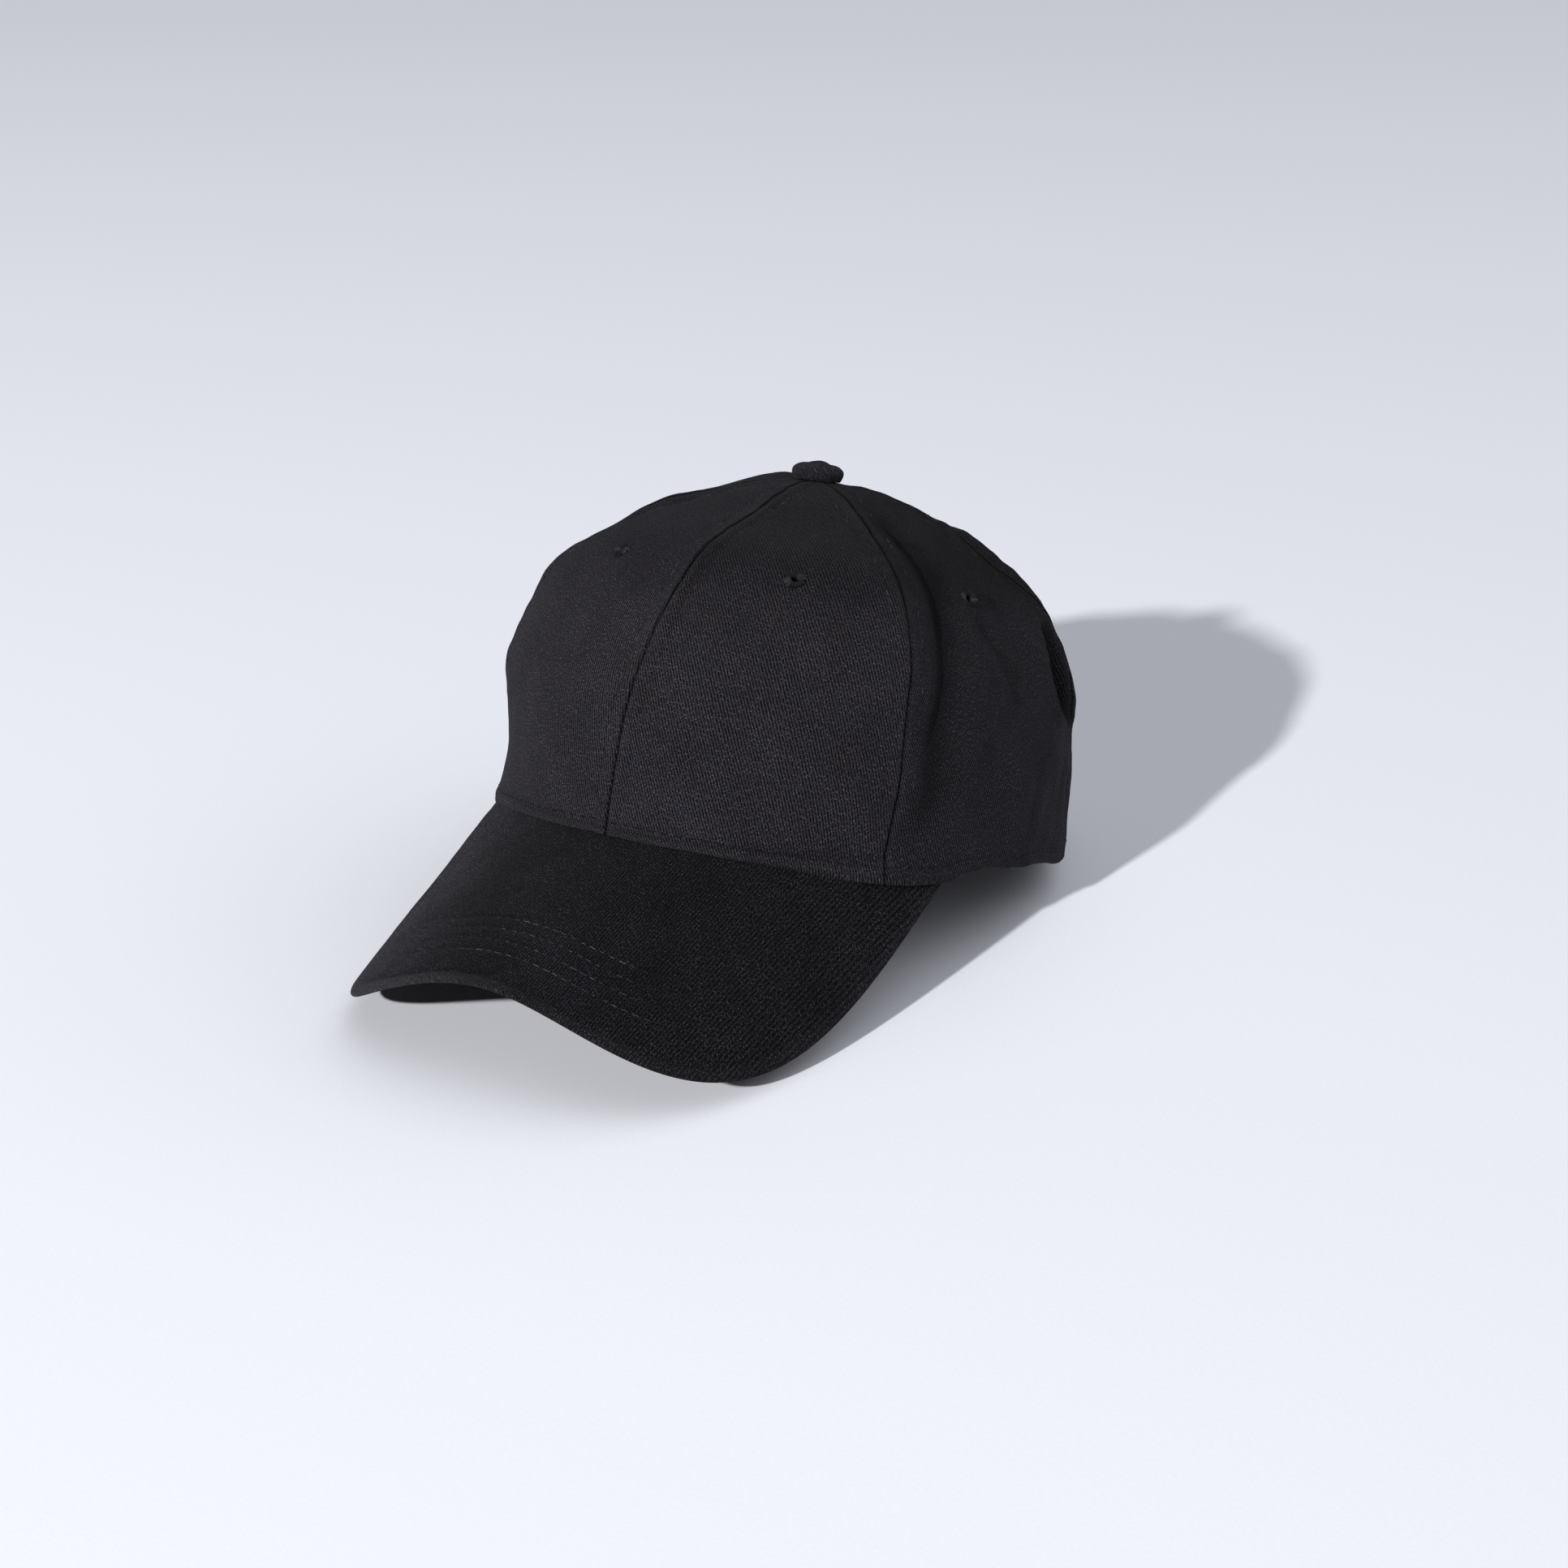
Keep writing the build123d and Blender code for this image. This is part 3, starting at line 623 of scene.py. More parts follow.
def twillFinish(name, look):
    # Brushed cotton twill: slanting ribs broken into threads, nap over them, lint and soft fading.
    finish, desk, shader = newFinish(name)
    weave = desk.mark("weave", "Vector")
    split = desk.fill(desk.add("ShaderNodeSeparateXYZ"), {0: weave})
    across, up = split.outputs[0], split.outputs[1]
    wander = desk.grain(weave, look["wander"])
    lean = radians(look["ribLean"])
    ribTurn = desk.times(across, tau * cos(lean) / look["ribPitch"])
    ribTurn = desk.plus(ribTurn, desk.times(up, tau * sin(lean) / look["ribPitch"]))
    rib = desk.wave(desk.plus(ribTurn, desk.times(wander, look["ribWander"])))
    threadTurn = desk.times(up, tau / look["threadPitch"])
    threadTurn = desk.plus(threadTurn, desk.times(across, tau * look["threadSlant"] / look["threadPitch"]))
    thread = desk.wave(desk.plus(threadTurn, desk.times(wander, look["threadWander"])))
    cell = desk.times(rib, desk.plus(desk.times(thread, look["threadDepth"]), 1 - look["threadDepth"]))
    nap = desk.grain(weave, look["nap"])
    fuzz = desk.grain(weave, look["fuzz"], radians(look["fuzzLean"]))
    ribs = desk.times(cell, look["ribHeight"])
    height = desk.plus(ribs, desk.times(nap, look["napHeight"]))
    height = desk.plus(height, desk.times(fuzz, look["napHeight"] * look["fuzzHeight"]))
    tone = desk.stretch(desk.plus(ribs, desk.times(nap, look["napTone"])), *look["toneRange"])
    colour = desk.blendColours(tone, look["dark"], look["light"])
    fibre = desk.stretch(fuzz, *look["fuzzRange"], 0.0, look["fuzzShare"])
    colour = desk.blendColours(fibre, colour, look["fuzzColour"])
    patches = desk.grain(weave, look["patches"])
    colour = desk.tinted(colour, desk.stretch(patches, 0.3, 0.7, 1.0 - look["fading"], 1.0 + look["fading"]))
    cloudy = desk.stretch(desk.grain(weave, look["clouds"]), 0.35, 0.65)
    colour = desk.tinted(colour, desk.blendColours(cloudy, look["warm"], look["cool"]))
    lint = desk.add("ShaderNodeTexVoronoi")
    desk.fill(lint, {"Vector": desk.scaled(weave, look["lintGrain"]), "Scale": 1.0})
    lintShare = desk.stretch(lint.outputs["Distance"], *look["lintRange"], look["lintShare"], 0.0)
    colour = desk.blendColours(lintShare, colour, look["lintColour"])
    # The "depth" mark darkens the cloth towards black; on the panels and the visor this is painted shade.
    colour = desk.blendColours(desk.mark("depth"), colour, (0.0, 0.0, 0.0, 1))
    worn = desk.times(desk.mark("wear"), desk.stretch(nap, 0.35, 0.65, 0.15, 1.0))
    colour = desk.blendColours(desk.times(worn, look["wearShare"]), colour, look["wearColour"])
    desk.fill(shader, {
        "Base Color": colour,
        "Roughness": desk.stretch(nap, 0.3, 0.7, *look["roughness"]),
        "Normal": desk.bumps(height, look["reliefDepth"]),
        "Specular IOR Level": look["specular"],
        "Sheen Weight": look["sheen"],
        "Sheen Roughness": look["sheenRoughness"],
        "Sheen Tint": look["sheenTint"],
    })
    return finish


crownTwill = {
    "wander": (0.16, 0.16, 3.0, 0.5),
    "ribPitch": 0.85,  # millimetres across the slanting ribs
    "ribLean": 20.0,  # degrees off upright
    "ribWander": 3.0,
    "ribHeight": 0.60,
    "threadPitch": 0.66,
    "threadSlant": -0.35,
    "threadWander": 7.0,
    "threadDepth": 0.4,
    "nap": (1.9, 1.4, 5.0, 0.78),
    "napHeight": 0.75,
    "napTone": 0.55,
    "toneRange": (0.30, 0.86),
    "dark": (0.0006, 0.0005, 0.0008, 1),
    "light": (0.0318, 0.0292, 0.0356, 1),
    "fuzz": (3.0, 1.6, 3.0, 0.7),
    "fuzzLean": 12.0,
    "fuzzHeight": 0.5,
    "fuzzRange": (0.56, 0.66),
    "fuzzShare": 0.6,
    "fuzzColour": (0.165, 0.155, 0.176, 1),
    "patches": (0.045, 0.045, 7.0, 0.72),
    "fading": 0.26,
    "clouds": (0.11, 0.11, 3.0, 0.6),
    "warm": (1.04, 0.99, 0.96, 1),
    "cool": (0.97, 0.99, 1.05, 1),
    "lintGrain": (0.5, 0.42, 1.0),
    "lintRange": (0.055, 0.11),
    "lintShare": 0.35,
    "lintColour": (0.13, 0.126, 0.134, 1),
    "wearShare": 0.35,
    "wearColour": (0.060, 0.057, 0.064, 1),
    "reliefDepth": 0.0003,
    "roughness": (0.96, 0.82),
    "specular": 0.05,
    "sheen": 0.03,
    "sheenRoughness": 0.5,
    "sheenTint": (0.75, 0.74, 0.85, 1),
}
visorTwill = {
    **crownTwill,
    "ribPitch": 0.92,
    "ribLean": 5.0,
    "ribHeight": 0.44,
    "napHeight": 1.0,
    "dark": (0.0005, 0.0005, 0.0008, 1),
    "light": (0.0370, 0.0344, 0.0426, 1),
    "fuzzLean": 4.0,
    "fuzzShare": 0.95,
    "fuzzColour": (0.175, 0.165, 0.186, 1),
    "fading": 0.42,
    # The visor's pale edge is partly wear, partly painted highlight.
    "wearShare": 0.9,
    "wearColour": (0.055, 0.052, 0.060, 1),
}
clothFinish = twillFinish("brushedTwill", crownTwill)
visorFinish = twillFinish("visorTwill", visorTwill)
bandFinish = twillFinish("bandTwill", {**crownTwill, "ribLean": 40.0, "sheen": 0.1, "lintShare": 0.2})

threadLook = {
    "grain": 2600.0,
    "twist": 900.0,
    "twistSway": 1.5,
    "reliefDepth": 0.00008,
    "roughness": (0.45, 0.7),
    "specular": 0.08,
}


def threadFinish(name, dark, light):
    finish, desk, shader = newFinish(name)
    spot = desk.objectSpot()
    grain = desk.noise(spot, threadLook["grain"], 3.0, 0.6)
    colour = desk.blendColours(desk.mark("shade"), dark, light)
    twist = desk.add("ShaderNodeTexWave", wave_type="BANDS", bands_direction="DIAGONAL")
    desk.fill(twist, {"Vector": spot, "Scale": threadLook["twist"], "Distortion": threadLook["twistSway"]})
    desk.fill(shader, {
        "Base Color": desk.tinted(colour, desk.stretch(grain, 0.3, 0.7, 0.75, 1.2)),
        "Normal": desk.bumps(desk.plus(twist.outputs["Fac"], grain), threadLook["reliefDepth"]),
        "Roughness": desk.stretch(grain, 0.3, 0.7, *threadLook["roughness"]),
        "Sheen Weight": 0.0,
        "Specular IOR Level": threadLook["specular"],
    })
    return finish


stitchFinish = threadFinish("sewingThread", (0.0045, 0.0043, 0.0052, 1), (0.30, 0.29, 0.315, 1))
eyeletFinish = threadFinish("eyeletThread", (0.007, 0.0065, 0.008, 1), (0.050, 0.0475, 0.0535, 1))

wovenLook = {
    "nap": (1.6, 1.6, 4.0, 0.6),
    "napHeight": 0.6,
    "toneRange": (0.1, 1.5),
    "patches": (0.06, 0.06, 2.0, 0.5),
    "fading": (0.85, 1.15),
    "roughness": (0.95, 0.78),
    "sheen": 0.12,
    "specular": 0.25,
}


def wovenFinish(name, pitch, reliefDepth, dark, light):
    # Plain-woven tape, lining or stiff backing.
    finish, desk, shader = newFinish(name)
    weave = desk.mark("weave", "Vector")
    split = desk.fill(desk.add("ShaderNodeSeparateXYZ"), {0: weave})
    over, under = [desk.maths("SINE", desk.times(split.outputs[way], tau / pitch)) for way in (0, 1)]
    cross = desk.stretch(desk.times(over, under), -1.0, 1.0)
    nap = desk.grain(weave, wovenLook["nap"])
    height = desk.plus(cross, desk.times(nap, wovenLook["napHeight"]))
    colour = desk.blendColours(desk.stretch(height, *wovenLook["toneRange"]), dark, light)
    patches = desk.grain(weave, wovenLook["patches"])
    desk.fill(shader, {
        "Base Color": desk.tinted(colour, desk.stretch(patches, 0.3, 0.7, *wovenLook["fading"])),
        "Normal": desk.bumps(height, reliefDepth),
        "Roughness": desk.stretch(nap, 0.3, 0.7, *wovenLook["roughness"]),
        "Sheen Weight": wovenLook["sheen"],
        "Specular IOR Level": wovenLook["specular"],
    })
    return finish


tapeFinish = wovenFinish("seamTape", 0.9, 0.0002, (0.004, 0.004, 0.005, 1), (0.024, 0.023, 0.026, 1))
backingFinish = wovenFinish("stiffBacking", 1.5, 0.0004, (0.006, 0.006, 0.007, 1), (0.055, 0.053, 0.057, 1))
boardFinish = wovenFinish("visorBoard", 2.4, 0.00006, (0.020, 0.020, 0.022, 1), (0.040, 0.040, 0.042, 1))

metalLook = {
    "dark": (0.42, 0.41, 0.40, 1),
    "light": (0.66, 0.65, 0.63, 1),
    "brushing": (60.0, 900.0, 900.0),
    "clouds": 140.0,
    "reliefDepth": 0.00003,
    "reliefStrength": 0.5,
}


def metalFinish(name):
    finish, desk, shader = newFinish(name)
    spot = desk.objectSpot()
    brushed = desk.noise(desk.scaled(spot, metalLook["brushing"]), 1.0, 3.0, 0.6)
    cloudy = desk.noise(spot, metalLook["clouds"], 3.0)
    dull = desk.stretch(cloudy, 0.35, 0.7, 0.2, 0.36)
    paler = desk.stretch(cloudy, 0.3, 0.7)
    desk.fill(shader, {
        "Base Color": desk.blendColours(paler, metalLook["dark"], metalLook["light"]),
        "Roughness": desk.plus(desk.stretch(brushed, 0.3, 0.7, 0.0, 0.16), dull),
        "Normal": desk.bumps(brushed, metalLook["reliefDepth"], metalLook["reliefStrength"]),
        "Metallic": 1.0,
    })
    return finish


buckleFinish = metalFinish("brushedSteel")
print("cap: finishes mixed")

# Stitches
stitch = {
    "pitch": 3.1,
    "length": 2.35,
    "radius": 0.17,
    "lift": 0.17,
    "sunk": 0.12,
    "rings": 5,
    "gap": 0.25,
    "lengths": (0.9, 1.08),
    "tilt": 0.12,
    "thicknesses": (0.85, 1.12),
    "taper": 0.45,
}


def threadTube(middle, side, out, radius, sides=6):
    # A thread along a line of spots, closed at both ends.
    turn = np.linspace(0, tau, sides, endpoint=False)
    ring = np.cos(turn)[None, :, None] * side[:, None] + np.sin(turn)[None, :, None] * out[:, None]
    points = (middle[:, None] + ring * radius[:, None, None]).reshape(-1, 3)
    faces = gridFaces(len(middle), sides, 0, False, True)
    faces += [list(range(sides))[::-1], list(range(len(points) - sides, len(points)))]
    return points, faces


def stitchRow(spots, outs, look, dice, shade=(0.1, 0.3), shadeAlong=None):
    # One row of stitches along a line of spots, each stitch a small arched thread.
    reach = lengthAlong(spots)
    share = np.linspace(-1, 1, look["rings"])
    stitches = []
    for number in range(int((reach[-1] - 1) / look["pitch"])):
        start = number * look["pitch"] + dice.uniform(0, look["gap"])
        length = look["length"] * dice.uniform(*look["lengths"])
        tilt = dice.uniform(-look["tilt"], look["tilt"])
        thickness = look["radius"] * dice.uniform(*look["thicknesses"])
        at = start + length * np.linspace(0, 1, look["rings"])
        middle = np.stack([np.interp(at, reach, spots[:, axis]) for axis in range(3)], -1)
        out = np.stack([np.interp(at, reach, outs[:, axis]) for axis in range(3)], -1)
        out = out / np.linalg.norm(out, axis=1, keepdims=True)
        along = np.gradient(middle, axis=0)
        along = along / np.maximum(np.linalg.norm(along, axis=1, keepdims=True), 1e-9)
        side = np.cross(out, along)
        lift = (1 - share**2) * look["lift"] - look["sunk"]
        middle = middle + out * lift[:, None] + side * (share * tilt)[:, None]
        points, faces = threadTube(middle, side, out, thickness * (1 - look["taper"] * share**4))
        tone = dice.uniform(*shade) * (shadeAlong(start / reach[-1]) if shadeAlong else 1.0)
        stitches.append((points, faces, np.full(len(points), tone)))
    return stitches


def joinThreads(threads):
    points, faces, shades, start = [], [], [], 0
    for threadPoints, threadFaces, threadShades in threads:
        points.append(threadPoints)
        shades.append(threadShades)
        faces += [[start + corner for corner in face] for face in threadFaces]
        start += len(threadPoints)
    return np.concatenate(points), faces, {"shade": np.concatenate(shades)}


# Six panels
panel = {
    "seamSteps": (0, 0.3, 0.7, 1.1, 1.6, 2.3, 3.0, 3.7, 4.3, 4.8, 5.3, 6.0, 7.2),
    "hemSteps": (0, 0.35, 0.8, 1.3, 2.0, 2.8, 3.6, 4.4, 5.4, 6.6),
    "columnStep": 1.7,
    "rowStep": 1.45,
    "hemRoll": 0.8,
    "hemRollWidth": 1.3,
    "hemStitch": 4.6,
    "grainTurn": (0.0, 8.0, 4.0),  # degrees that each panel's cloth is turned by
    "archStitches": (2.0, 6.6),
    "mostBesideSeam": 0.42,  # of a row's width, for the finer steps beside a seam
    "seamWear": (0.5, 1.3, 0.8),
    "hemWear": (0.2, 1.0, 0.9),
    "edgeWear": 0.4,
    # Painted shade on the panels: darker near the top, on the wearer's left side, in folds, along seams and
    # along the front hem.
    "topPaintedShade": (0.46, 62, 30),
    "sidePaintedShade": (0.26, 48, 10),
    "foldPaintedShade": 0.15,
    "foldPaintedShadeFade": 0.12,
    "seamPaintedShade": (0.45, 0, 0.7),
    "hemPaintedShade": (0.3, 0, 0.8),
    "mostPaintedShade": 0.8,
}
riseSteps = 400


def riseTable(angle):
    # Turn of the wall against the share of the way up from the rim to the button.
    turns = np.linspace(90, float(turnAtRadius(np.array(angle), crown["hole"])), riseSteps)
    reach = lengthAlong(wallPoint(np.full(riseSteps, float(angle)), turns))
    return turns, reach / reach[-1], reach[-1]


def lowerEdge(gore, turns, rises):
    # Angle and share of the rise along a panel's lower edge: the rim, then the arch of the opening.
    if gore < 2:
        share = np.linspace(0, 1, 200)
        return share, seams[gore] + (seams[gore + 1] - seams[gore]) * share, np.zeros(200)
    rimAngles = np.linspace(seams[2], openingAngle, 60)
    arch = np.linspace(0, pi / 2, 160)[1:]
    archAngles, archTurns = backSpot(
        crown["openingHalfWidth"] * np.cos(arch), crown["sewnGap"] + crown["openingHeight"] * np.sin(arch)
    )
    angles = np.concatenate([rimAngles, archAngles])
    turnsHere = np.concatenate([np.full(60, 90.0), archTurns])
    angles[-1] = 180.0
    reach = lengthAlong(wallPoint(angles, turnsHere))
    return reach / reach[-1], angles, np.interp(-turnsHere, -turns, rises)


def panelGrid(gore):
    # Angles and turns of a panel's points, closer together beside its seams and its lower edge.
    first, run = seams[gore], seams[gore + 1] - seams[gore]
    turns, rises, height = riseTable(first + run / 2)
    share, edgeAngles, edgeRises = lowerEdge(gore, turns, rises)
    hem = np.array(panel["hemSteps"]) / height
    above = np.linspace(hem[-1], 1, int((1 - hem[-1]) * height / panel["rowStep"]))[1:]
    ups = np.concatenate([hem, above])
    rowWidths = []
    for up in ups:
        angles = edgeAngles * (1 - up) + (first + run * share) * up
        spots = wallPoint(angles, np.interp(edgeRises * (1 - up) + up, rises, turns))
        rowWidths.append(lengthAlong(spots)[-1])
    steps = np.array(panel["seamSteps"])
    between = int((max(rowWidths) - 2 * steps[-1]) / panel["columnStep"])
    angleRows, turnRows = [], []
    for up, width in zip(ups, rowWidths):
        near = steps * min(1, panel["mostBesideSeam"] * width / steps[-1])
        middle = np.linspace(near[-1], width - near[-1], between)[1:-1]
        part = np.concatenate([near, middle, width - near[::-1]]) / width
        angleRows.append(np.interp(part, share, edgeAngles) * (1 - up) + (first + run * part) * up)
        turnRows.append(np.interp(np.interp(part, share, edgeRises) * (1 - up) + up, rises, turns))
    return np.array(angleRows), np.array(turnRows), (ups * height)[:, None], first + run / 2


eyelet = {
    "angles": (27.0, 80.0, 150.0),
    "heights": (80.5, 79.5, 82.0),
    "hole": 1.35,
    "threads": 24,
    "inner": 1.2,
    "outer": 3.5,
    "threadRadius": 0.25,
    "lift": 0.38,
    "lengths": (0.7, 1.08),
    "oval": 0.1,
    "shade": (0.0, 0.12),
    # Painted highlight: some threads are coloured pale where the fan would catch the light.
    "paintedHighlight": (0.1, 0.9),  # where the fan catches the light
}


def eyeletSpot(sign, gore):
    angle = np.array([float(sign * eyelet["angles"][gore])])
    turn = turnAtHeight(angle, eyelet["heights"][gore])
    spot, out = outside(angle, turn)
    beside = outside(angle + 0.5, turn)[0] - outside(angle - 0.5, turn)[0]
    out = out[0]
    beside = beside[0] - out * np.dot(beside[0], out)
    beside = beside / np.linalg.norm(beside)
    return spot[0], out, beside, np.cross(out, beside)


def cutHole(piece, spot, out, radius):
    # A round hole through the cloth.
    shape = bmesh.new()
    size = radius * 0.001
    bmesh.ops.create_cone(shape, cap_ends=True, segments=20, radius1=size, radius2=size, depth=0.012)
    way = Vector(np.array(out) @ capAxes)
    turned = way.to_track_quat("Z", "Y").to_matrix().to_4x4()
    bmesh.ops.transform(shape, matrix=Matrix.Translation(Vector(place(spot))) @ turned, verts=shape.verts)
    mesh = bpy.data.meshes.new("punch")
    shape.to_mesh(mesh)
    shape.free()
    punch = bpy.data.objects.new("punch", mesh)
    bpy.context.scene.collection.objects.link(punch)
    cut = piece.modifiers.new("hole", "BOOLEAN")
    cut.operation = "DIFFERENCE"
    cut.object = punch
    cut.solver = "EXACT"
    bpy.context.view_layer.update()
    done = bpy.data.meshes.new_from_object(piece.evaluated_get(bpy.context.evaluated_depsgraph_get()))
    piece.modifiers.clear()
    piece.data = done
    bpy.data.objects.remove(punch)


def panelWear(angles, ups, height, away, nearest):
    # Worn pale on the ridges of its seams, and along the hem in front.
    patches = softNoise(height, away * 3 + nearest * seamLook["nextSeam"], 9, 31)
    wear = lobe(away, panel["seamWear"]) * (0.5 + 0.5 * patches)
    return np.clip(wear + lobe(ups, panel["hemWear"]) * (np.abs(angles) < seams[1]), 0, 1)


def panelPaintedShade(angles, ups, radius, height, away):
    # Painted shade: the cloth is darkened near the top, on the wearer's left from the side panel back, in its
    # folds, along its seams and along the front hem.
    top = ease((height - panel["topPaintedShade"][1]) / panel["topPaintedShade"][2])
    darkening = panel["topPaintedShade"][0] * top + ramp(angles, panel["sidePaintedShade"]) * (1 - 0.5 * top)
    for fold in folds:
        deep = np.maximum(0, -foldRise(fold, angles, radius, height, panel["foldPaintedShadeFade"]))
        darkening = darkening + panel["foldPaintedShade"] * deep
    hemPaintedShade = lobe(ups - panel["hemStitch"], panel["hemPaintedShade"]) * (np.abs(angles) < seams[1])
    return np.clip(darkening + lobe(away, panel["seamPaintedShade"]) + hemPaintedShade, 0, panel["mostPaintedShade"])


def shellMark(values, points, edge=0.0):
    # A mark on the outside of a shell, none inside, and one value along its edge.
    inside = np.zeros(values.size)
    return np.concatenate([values.ravel(), inside, np.full(len(points) - 2 * values.size, edge)])


panelNames = ("front", "side", "back")
for side, sign in bothSides:
    for gore, panelName in enumerate(panelNames):
        angles, turns, ups, middle = panelGrid(gore)
        angles = angles * sign
        hemDepth = panel["hemRoll"] * np.clip(1 - ups / panel["hemRollWidth"], 0, 1) ** 2
        grid = wallPoint(angles, turns, hemDepth - wallRelief(angles, turns))
        radius, height = wallSpot(angles, turns)
        away, nearest = seamDistance(angles, radius)
        grain = radians(panel["grainTurn"][gore])
        across = np.radians(angles - sign * middle) * radius
        weave = weaveOf(across * cos(grain) + ups * sin(grain), ups * cos(grain) - across * sin(grain))
        points, faces, weave = clothShell(grid, weave, crown["cloth"], grid - crownMiddle)
        wear = shellMark(panelWear(angles, ups, height, away, nearest), points, panel["edgeWear"])
        # The painted shade goes into the cloth's "depth" mark.
        darkening = shellMark(panelPaintedShade(angles, ups, radius, height, away), points)
        marks = {"weave": weave, "wear": wear, "depth": darkening}
        piece = makePiece(f"{panelName}Panel{side}", points, faces, marks, "crown", clothFinish, "cloth")
        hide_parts(f"{panelName}_panel_{side.lower()}")
        spot, out, beside, above = eyeletSpot(sign, gore)
        cutHole(piece, spot, out, eyelet["hole"])
print("cap: six panels cut and sewn")

# Embroidered eyelets: satin stitches fanned round each hole, a few of them longer.
dice = random.Random(5)
for side, sign in bothSides:
    for gore, panelName in enumerate(panelNames):
        spot, out, beside, above = eyeletSpot(sign, gore)
        threads = []
        for layer in range(2):
            for number in range(eyelet["threads"]):
                turn = tau * (number + 0.5 * layer + dice.uniform(-0.2, 0.2)) / eyelet["threads"]
                way = cos(turn) * beside + sin(turn) * above
                reach = eyelet["outer"] * dice.uniform(*eyelet["lengths"])
                reach = reach * (1 + eyelet["oval"] * cos(2 * turn - 0.5)) - 0.5 * layer
                inner = eyelet["inner"]
                ends = np.array([inner * 0.85, inner, 0.5 * (inner + reach), reach, reach + 0.1])
                lifts = np.array([-1.0, 0.1, eyelet["lift"], 0.1, -0.5]) + 0.1 * layer
                curve = spot + ends[:, None] * way + lifts[:, None] * out
                sideways = np.broadcast_to(np.cross(out, way), curve.shape)
                size = eyelet["threadRadius"] * np.array([0.7, 1.0, 1.1, 1.0, 0.6])
                points, faces = threadTube(curve, sideways, np.broadcast_to(out, curve.shape), size)
                # Painted highlight: threads that run one way round the fan are coloured paler.
                pale = 0.5 + 0.5 * sin(2 * turn + 0.9 + gore)
                shade = dice.uniform(*eyelet["shade"]) + pale**4 * dice.uniform(*eyelet["paintedHighlight"])
                threads.append((points, faces, np.full(len(points), shade)))
        points, faces, marks = joinThreads(threads)
        piece = makePiece(f"{panelName}Eyelet{side}", points, faces, marks, "crown", eyeletFinish, "thread")
        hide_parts(f"{panelName}_eyelet_{side.lower()}")
print("cap: eyelets worked")


# Painted glints along the topstitching.
seamPaintedGlint = {
    "least": 0.04,
    "waves": ((37, 1.0), (71, 0.0)),  # how many along a row, and where they start
    "lift": 0.3,
    "fade": 0.9,
}


def patchyPaintedGlint(share):
    # Painted glints: the thread is coloured dark, and pale in patches where it would catch the light.
    wave = sum(sin(turns * share + start) for turns, start in seamPaintedGlint["waves"])
    bright = ease((wave + seamPaintedGlint["lift"]) / seamPaintedGlint["fade"])
    return float(seamPaintedGlint["least"] + (1 - seamPaintedGlint["least"]) * bright)


# Topstitching each side of every seam, along the hem and round the opening.
seamStitch = {**stitch, "radius": 0.13, "length": 2.6}
hemStitch = {**stitch, "radius": 0.25, "pitch": 4.0, "length": 2.7, "lift": 0.2}
threads = []
dice = random.Random(9)
for seam in (0, 53, -53, 120, -120, 180, -180):
    turns, rises, height = riseTable(min(abs(seam), backSeam))
    for way in (1, -1):
        if abs(seam) == 180 and way * seam > 0:
            continue
        turnsHere = np.interp(np.linspace(0.012, 0.93, 240), rises, turns)
        angles = np.full(len(turnsHere), float(seam))
        for again in range(3):
            radius = wallSpot(angles, turnsHere)[0]
            angles = seam + way * np.degrees(seamLook["stitchOffset"] / radius)
        if abs(seam) == 180:
            aboveOpening = wallSpot(angles, turnsHere)[1] > crown["openingHeight"] + 2
            angles, turnsHere = angles[aboveOpening], turnsHere[aboveOpening]
        # Painted glints in patches along each row.
        threads += stitchRow(*outside(angles, turnsHere), seamStitch, dice, (0.02, 0.18), patchyPaintedGlint)
angles = np.linspace(-openingAngle + 3, openingAngle - 3, 900)
threads += stitchRow(*outside(angles, turnAtHeight(angles, panel["hemStitch"])), hemStitch, dice, (0.0, 0.02))
arch = np.linspace(0.08, pi / 2, 200)
for inset in panel["archStitches"]:
    for side, sign in bothSides:
        out = (crown["openingHalfWidth"] + inset) * np.cos(arch)
        angles, turns = backSpot(out, (crown["openingHeight"] + inset) * np.sin(arch))
        threads += stitchRow(*outside(sign * angles, turns), stitch, dice, (0.0, 0.07))
makePiece("crownStitching", *joinThreads(threads), "crown", stitchFinish, "thread")
print("cap: crown topstitched")


# Visor
def visorEdge(turn, inset=0.0):
    across = np.abs(np.sin(np.radians(turn))) / (visorHalf - inset)
    along = np.abs(np.cos(np.radians(turn))) / (visor["length"] - inset)
    reach = (across ** visor["power"] + along ** visor["power"]) ** (-1 / visor["power"])
    return reach * np.sin(np.radians(turn)), attachY - reach * np.cos(np.radians(turn))


def edgeWithWays(count):
    # Spots along the visor's outer edge in plan, and the way square out from each.
    x, y = visorEdge(np.linspace(-90, 90, count))
    alongX, alongY = np.gradient(x), np.gradient(y)
    length = np.hypot(alongX, alongY)
    return x, y, -alongY / -length, -alongX / length


def insetOf(x, y):
    # How far a spot of the visor stands in from its outer edge, in plan.
    edgeX, edgeY, outX, outY = edgeWithWays(900)
    flatX, flatY = np.ravel(x), np.ravel(y)
    inset = np.zeros(len(flatX))
    for start in range(0, len(flatX), 4000):
        part = slice(start, start + 4000)
        awayX = edgeX[None] - flatX[part, None]
        awayY = edgeY[None] - flatY[part, None]
        nearest = np.argmin(awayX**2 + awayY**2, axis=1)
        pick = np.arange(len(nearest))
        inset[part] = awayX[pick, nearest] * outX[nearest] + awayY[pick, nearest] * outY[nearest]
    return inset.reshape(np.shape(x))


def visorRelief(x, y, inset):
    # Plus is outward from the board: rows of stitching pull the cover down, and it puckers along them.
    relief = noises(x, y, visor["waves"]) + lobe(inset, visor["edgeDip"])
    for row in visor["rowInsets"]:
        relief = relief - visor["rowDip"] * hump(inset - row, visor["rowWidth"])
        pucker = visor["pucker"] * softNoise(x, y, visor["puckerSize"], 43)
        relief = relief + pucker * hump(inset - row, visor["puckerReach"])
    return relief


